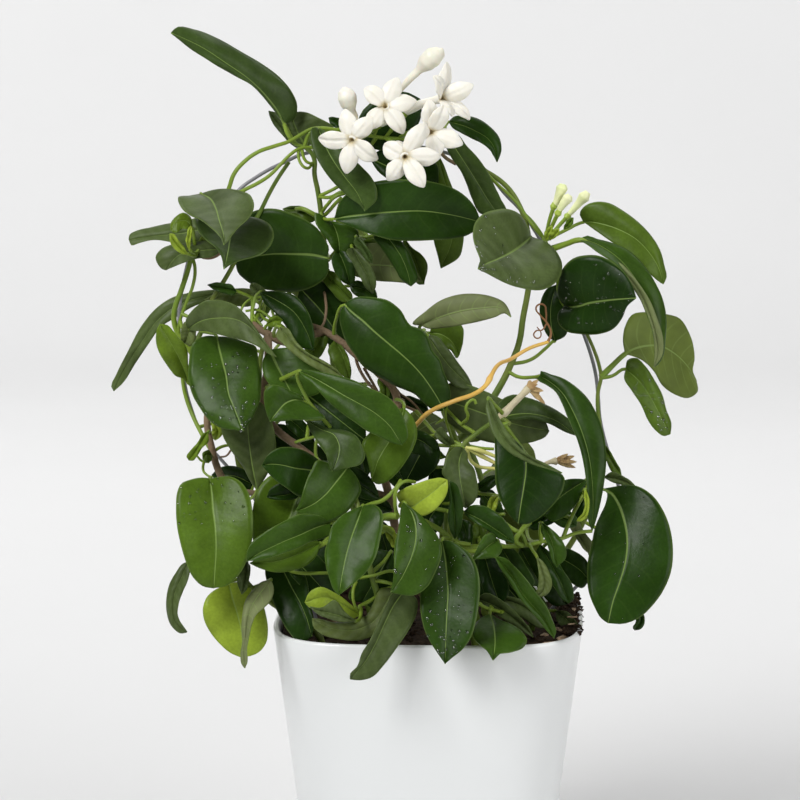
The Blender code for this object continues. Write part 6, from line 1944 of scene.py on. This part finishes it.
def make_pot():
    """The pot: up the outside, over the lip and down the inside to its floor."""
    foot = [(POT_BASE_HALF - inset, height) for inset, height in POT_FOOT]
    lip = POT_WALL / 2
    rings = foot[1:] + [(half_at(POT_HEIGHT * share), POT_HEIGHT * share) for share in (0.25, 0.5, 0.75, 0.94)]
    centre, crown = POT_RIM_HALF - lip, POT_HEIGHT - lip
    for step in range(LIP_STEPS + 1):
        turn = math.pi * step / LIP_STEPS
        rings.append((centre + lip * math.cos(turn), crown + lip * math.sin(turn)))
    rings += [(half_at(z) - POT_WALL, z) for z in (POT_INNER_RING, POT_FLOOR)]
    pot = start_round_square("pot", *foot[0])
    raise_rings(rings, *foot[0])
    end_editing()
    dressed(pot, pot_skin)
    bpy.ops.object.shade_smooth_by_angle(angle=POT_SHARP)
    return pot


pot = make_pot()
finished(pot, "pot_white", "planter")
print("pot", len(pot.data.polygons), "faces")

# %% [markdown]
# ## The soil
#
# Peat fills the pot to just under its rim. Its top is the pot's plan, inset again and again into rings and then
# lifted to the soil's height and a little noise, and loose crumbs and a few pale wood chips lie on it.

# %% The soil
SOIL_GAP = 0.0006
SOIL_BASE = 0.12
SOIL_SHOULDER = 0.002
SOIL_SHORE = 0.0015
SOIL_RINGS = 26
SOIL_POINTS = 96


def soil_bump(x, y):
    """The fine roughness of the soil's top."""
    place = Vector((x, y, 0.0))
    return 0.0016 * noise.noise(place * 90.0) + 0.0009 * noise.noise(place * 260.0)


def make_soil_body():
    """The body of peat, with its top in rings that follow the soil's height."""
    half, low = (half_at(z) - POT_WALL - SOIL_GAP for z in (SOIL_TOP, SOIL_BASE))
    top = SOIL_TOP - SOIL_SHOULDER
    body = start_round_square("soil_body", low, SOIL_BASE, points=SOIL_POINTS)
    raise_rings([(half * (1 - step / (SOIL_RINGS + 1)), top) for step in range(SOIL_RINGS + 1)], low, SOIL_BASE)
    end_editing()
    for vertex in body.data.vertices:
        x, y, z = vertex.co
        if z > SOIL_TOP - 0.01:
            at_edge = max(abs(x), abs(y)) / half > 0.99
            vertex.co.z = soil_height(x, y) + soil_bump(x, y) - (SOIL_SHORE if at_edge else 0.0)
    dressed(body, peat_finish)
    smoothed(body)
    return body


def make_crumb(name, seed, stretch):
    """One crumb: a small ball pushed out of shape."""
    crumb = new_shape(name, bpy.ops.mesh.primitive_uv_sphere_add, segments=8, ring_count=5, radius=1.0)
    for vertex in crumb.data.vertices:
        push = 1.0 + 0.55 * noise.noise(vertex.co * 1.3 + Vector((seed * 7.1, 0, 0)))
        vertex.co = Vector(a * b for a, b in zip(vertex.co * push, stretch))
    crumb.hide_render = True
    return crumb


CRUMBS = [make_crumb("crumb_round", 1, (1.0, 0.9, 0.8)), make_crumb("crumb_long", 2, (1.6, 0.7, 0.6)),
          make_crumb("crumb_flat", 3, (1.2, 1.0, 0.45))]
CHIP = make_crumb("wood_chip", 5, (2.1, 1.0, 0.35))


def scatter(name, shapes, places, finish):
    """Copies of small shapes at places, each a centre, a size and a seed for its turn."""
    copies = []
    for number, (centre, size, seed) in enumerate(places):
        draw = random.Random(seed)
        copy = copied(shapes[number % len(shapes)], name + "_copy")
        turn = Matrix.Rotation(draw.uniform(0, 6.28), 4, "Z") @ Matrix.Rotation(draw.uniform(-0.5, 0.5), 4, "X")
        copy.data.transform(Matrix.Translation(centre) @ turn @ Matrix.Scale(size, 4))
        copies.append(copy)
    whole = merged(name, copies)
    dressed(whole, finish)
    return whole


# %% [markdown]
# Crumbs lie all over the soil, and some have been spilt on the rim at the right, heaped a little towards the back.
# Lengths here are in metres, and every chip and crumb has a seed of its own.

# %% Crumbs and chips
CRUMB_COUNT = 420
CRUMB_SIZES = (0.0006, 0.0019)
CRUMB_EDGE = 0.003
SPILL_COUNT = 230
SPILL_SIZES = (0.0008, 0.0023)
SPILL_ALONG = (-0.052, 0.045)
SPILL_ACROSS = (0.0738, 0.0835)
SPILL_SLANT = 0.044
SPILL_HEAP = 0.0030
SPILL_SUNK = 0.0008
SPILL_SEED = 900
CHIP_SEED = 90
CHIP_SPOTS = ((0.071, -0.046, 0.0035), (0.066, -0.060, 0.0042), (0.058, -0.068, 0.0030), (0.072, -0.030, 0.0026),
              (0.050, -0.072, 0.0024), (0.062, -0.040, 0.0022), (-0.058, -0.070, 0.0022), (0.030, -0.073, 0.0020))
RIM_CHIPS = (((573, 617, -36), 0.0015, 31), ((571, 624, -40), 0.0013, 33), ((574, 609, -28), 0.0012, 37))

draw = random.Random(11)
crumb_places = []
for number in range(CRUMB_COUNT):
    angle = draw.uniform(0, 2 * math.pi)
    reach = (half_at(SOIL_TOP) - POT_WALL - CRUMB_EDGE) * math.sqrt(draw.random())
    x, y = round_square(angle, reach)
    size = draw.uniform(*CRUMB_SIZES)
    crumb_places.append((Vector((x, y, soil_height(x, y) + size * 0.3)), size, number))
for number in range(SPILL_COUNT):
    y = draw.uniform(*SPILL_ALONG)
    x = draw.uniform(*SPILL_ACROSS) + SPILL_SLANT * y
    size = draw.uniform(*SPILL_SIZES)
    heap = SPILL_HEAP * draw.random() * ease(y, -0.01, 0.05)
    crumb_places.append((Vector((x, y, POT_HEIGHT - SPILL_SUNK + heap)), size, SPILL_SEED + number))
chip_places = [(Vector((x, y, soil_height(x, y) + 0.001)), size, CHIP_SEED + number)
               for number, (x, y, size) in enumerate(CHIP_SPOTS)]
chip_places += [(spot(*where), size, seed) for where, size, seed in RIM_CHIPS]

soil_body = make_soil_body()
finished(soil_body, "peat", "soil")
crumbs = finished(scatter("soil_crumbs", CRUMBS, crumb_places, peat_finish), "peat")
chips = finished(scatter("soil_chips", [CHIP], chip_places, chip_finish), "peat")
print("soil", len(soil_body.data.polygons) + len(crumbs.data.polygons) + len(chips.data.polygons), "faces")

# %% [markdown]
# ## The stage, the light and the camera
#
# The plant stands on a plain pale sweep: a floor that curves up into a wall. A wide soft light hangs above and in
# front of it, a little to the left, and a weaker one fills the right side, as in a small studio.

# %% The stage
FLOOR_FRONT, FLOOR_BACK, FLOOR_HALF_WIDE, WALL_TOP = -1.4, 2.2, 8.0, 5.0
SWEEP_RADIUS = 1.0
SWEEP_STEPS = 12


def make_sweep():
    """The floor and the wall behind it, as one smooth sheet."""
    sweep = new_shape("studio_sweep", bpy.ops.mesh.primitive_plane_add, size=2.0)
    for vertex in sweep.data.vertices:
        vertex.co.x *= FLOOR_HALF_WIDE
        vertex.co.y = FLOOR_FRONT if vertex.co.y < 0 else FLOOR_BACK
    bpy.ops.object.mode_set(mode="EDIT")
    bpy.ops.mesh.select_all(action="DESELECT")
    bpy.ops.object.mode_set(mode="OBJECT")
    for edge in sweep.data.edges:
        edge.select = all(sweep.data.vertices[index].co.y > 0 for index in edge.vertices)
    bpy.ops.object.mode_set(mode="EDIT")
    bpy.ops.mesh.select_mode(type="EDGE")
    for step in range(SWEEP_STEPS):
        first, second = (math.pi / 2 * (step + more) / SWEEP_STEPS for more in (0, 1))
        forward = SWEEP_RADIUS * (math.sin(second) - math.sin(first))
        upward = SWEEP_RADIUS * (math.cos(first) - math.cos(second))
        bpy.ops.mesh.extrude_region_move(TRANSFORM_OT_translate={"value": (0, forward, upward)})
    bpy.ops.mesh.extrude_region_move(TRANSFORM_OT_translate={"value": (0, 0, WALL_TOP)})
    end_editing()
    bpy.ops.object.shade_smooth()
    return sweep


sweep = make_sweep()
sweep.data.materials.append(plain_finish("studio_paper", (0.70, 0.70, 0.70), 0.9, scale=2.0, spread=0.01))
print("stage:", sweep.name)


# %% Lights
def soft_light(name, place, aim, size, power):
    """A square soft light that looks at a point."""
    lamp = bpy.data.lights.new(name, "AREA")
    lamp.shape = "SQUARE"
    lamp.size = size
    lamp.energy = power
    thing = bpy.data.objects.new(name, lamp)
    thing.location = place
    thing.rotation_euler = (Vector(aim) - Vector(place)).to_track_quat("-Z", "Y").to_euler()
    bpy.context.scene.collection.objects.link(thing)


PLANT_HEART = (0.0, 0.0, 0.28)
# each light: its place, what it looks at, its width in metres and its power in watts
LIGHTS = {
    "key_light": ((-1.3, -1.5, 1.9), PLANT_HEART, 1.1, 57.0),
    "fill_light": ((1.6, -1.3, 0.9), PLANT_HEART, 1.4, 22.0),
    "top_light": ((0.3, 0.9, 1.9), PLANT_HEART, 1.2, 6.0),
    "wall_light_left": ((-1.5, 1.0, 2.2), (-0.5, 3.2, 0.9), 1.0, 41.0),
    "wall_light_right": ((1.5, 1.0, 2.2), (0.5, 3.2, 0.9), 1.0, 34.0),
}
AIR_GLOW = 0.12

for name, values in LIGHTS.items():
    soft_light(name, *values)

world = bpy.data.worlds.new("studio_air")
world.use_nodes = True
air = world.node_tree.nodes["Background"].inputs
air["Color"].default_value = (1.0, 1.0, 1.0, 1.0)
air["Strength"].default_value = AIR_GLOW
bpy.context.scene.world = world
print("lights:", len(LIGHTS))

# %% The camera
lens = bpy.data.cameras.new("camera")
lens.sensor_width = SENSOR
lens.lens = SENSOR * VIEW_DISTANCE / VIEW_PIXEL / (2 * VIEW_CENTRE)
lens.clip_start = 0.05
lens.clip_end = 60.0
camera = bpy.data.objects.new("camera", lens)
camera.location = EYE
camera.rotation_euler = LOOK.to_track_quat("-Z", "Y").to_euler()
bpy.context.scene.collection.objects.link(camera)
bpy.context.scene.camera = camera
bpy.context.scene.view_settings.view_transform = "Standard"
print("lens:", round(lens.lens, 1), "mm")

# %% [markdown]
# ## Clearing up
#
# The blanks have done their work and go.

# %% Clean up and finish
for blank in [*BLANKS.values(), TUBE_BLANK, *CRUMBS, CHIP]:
    bpy.data.objects.remove(blank)
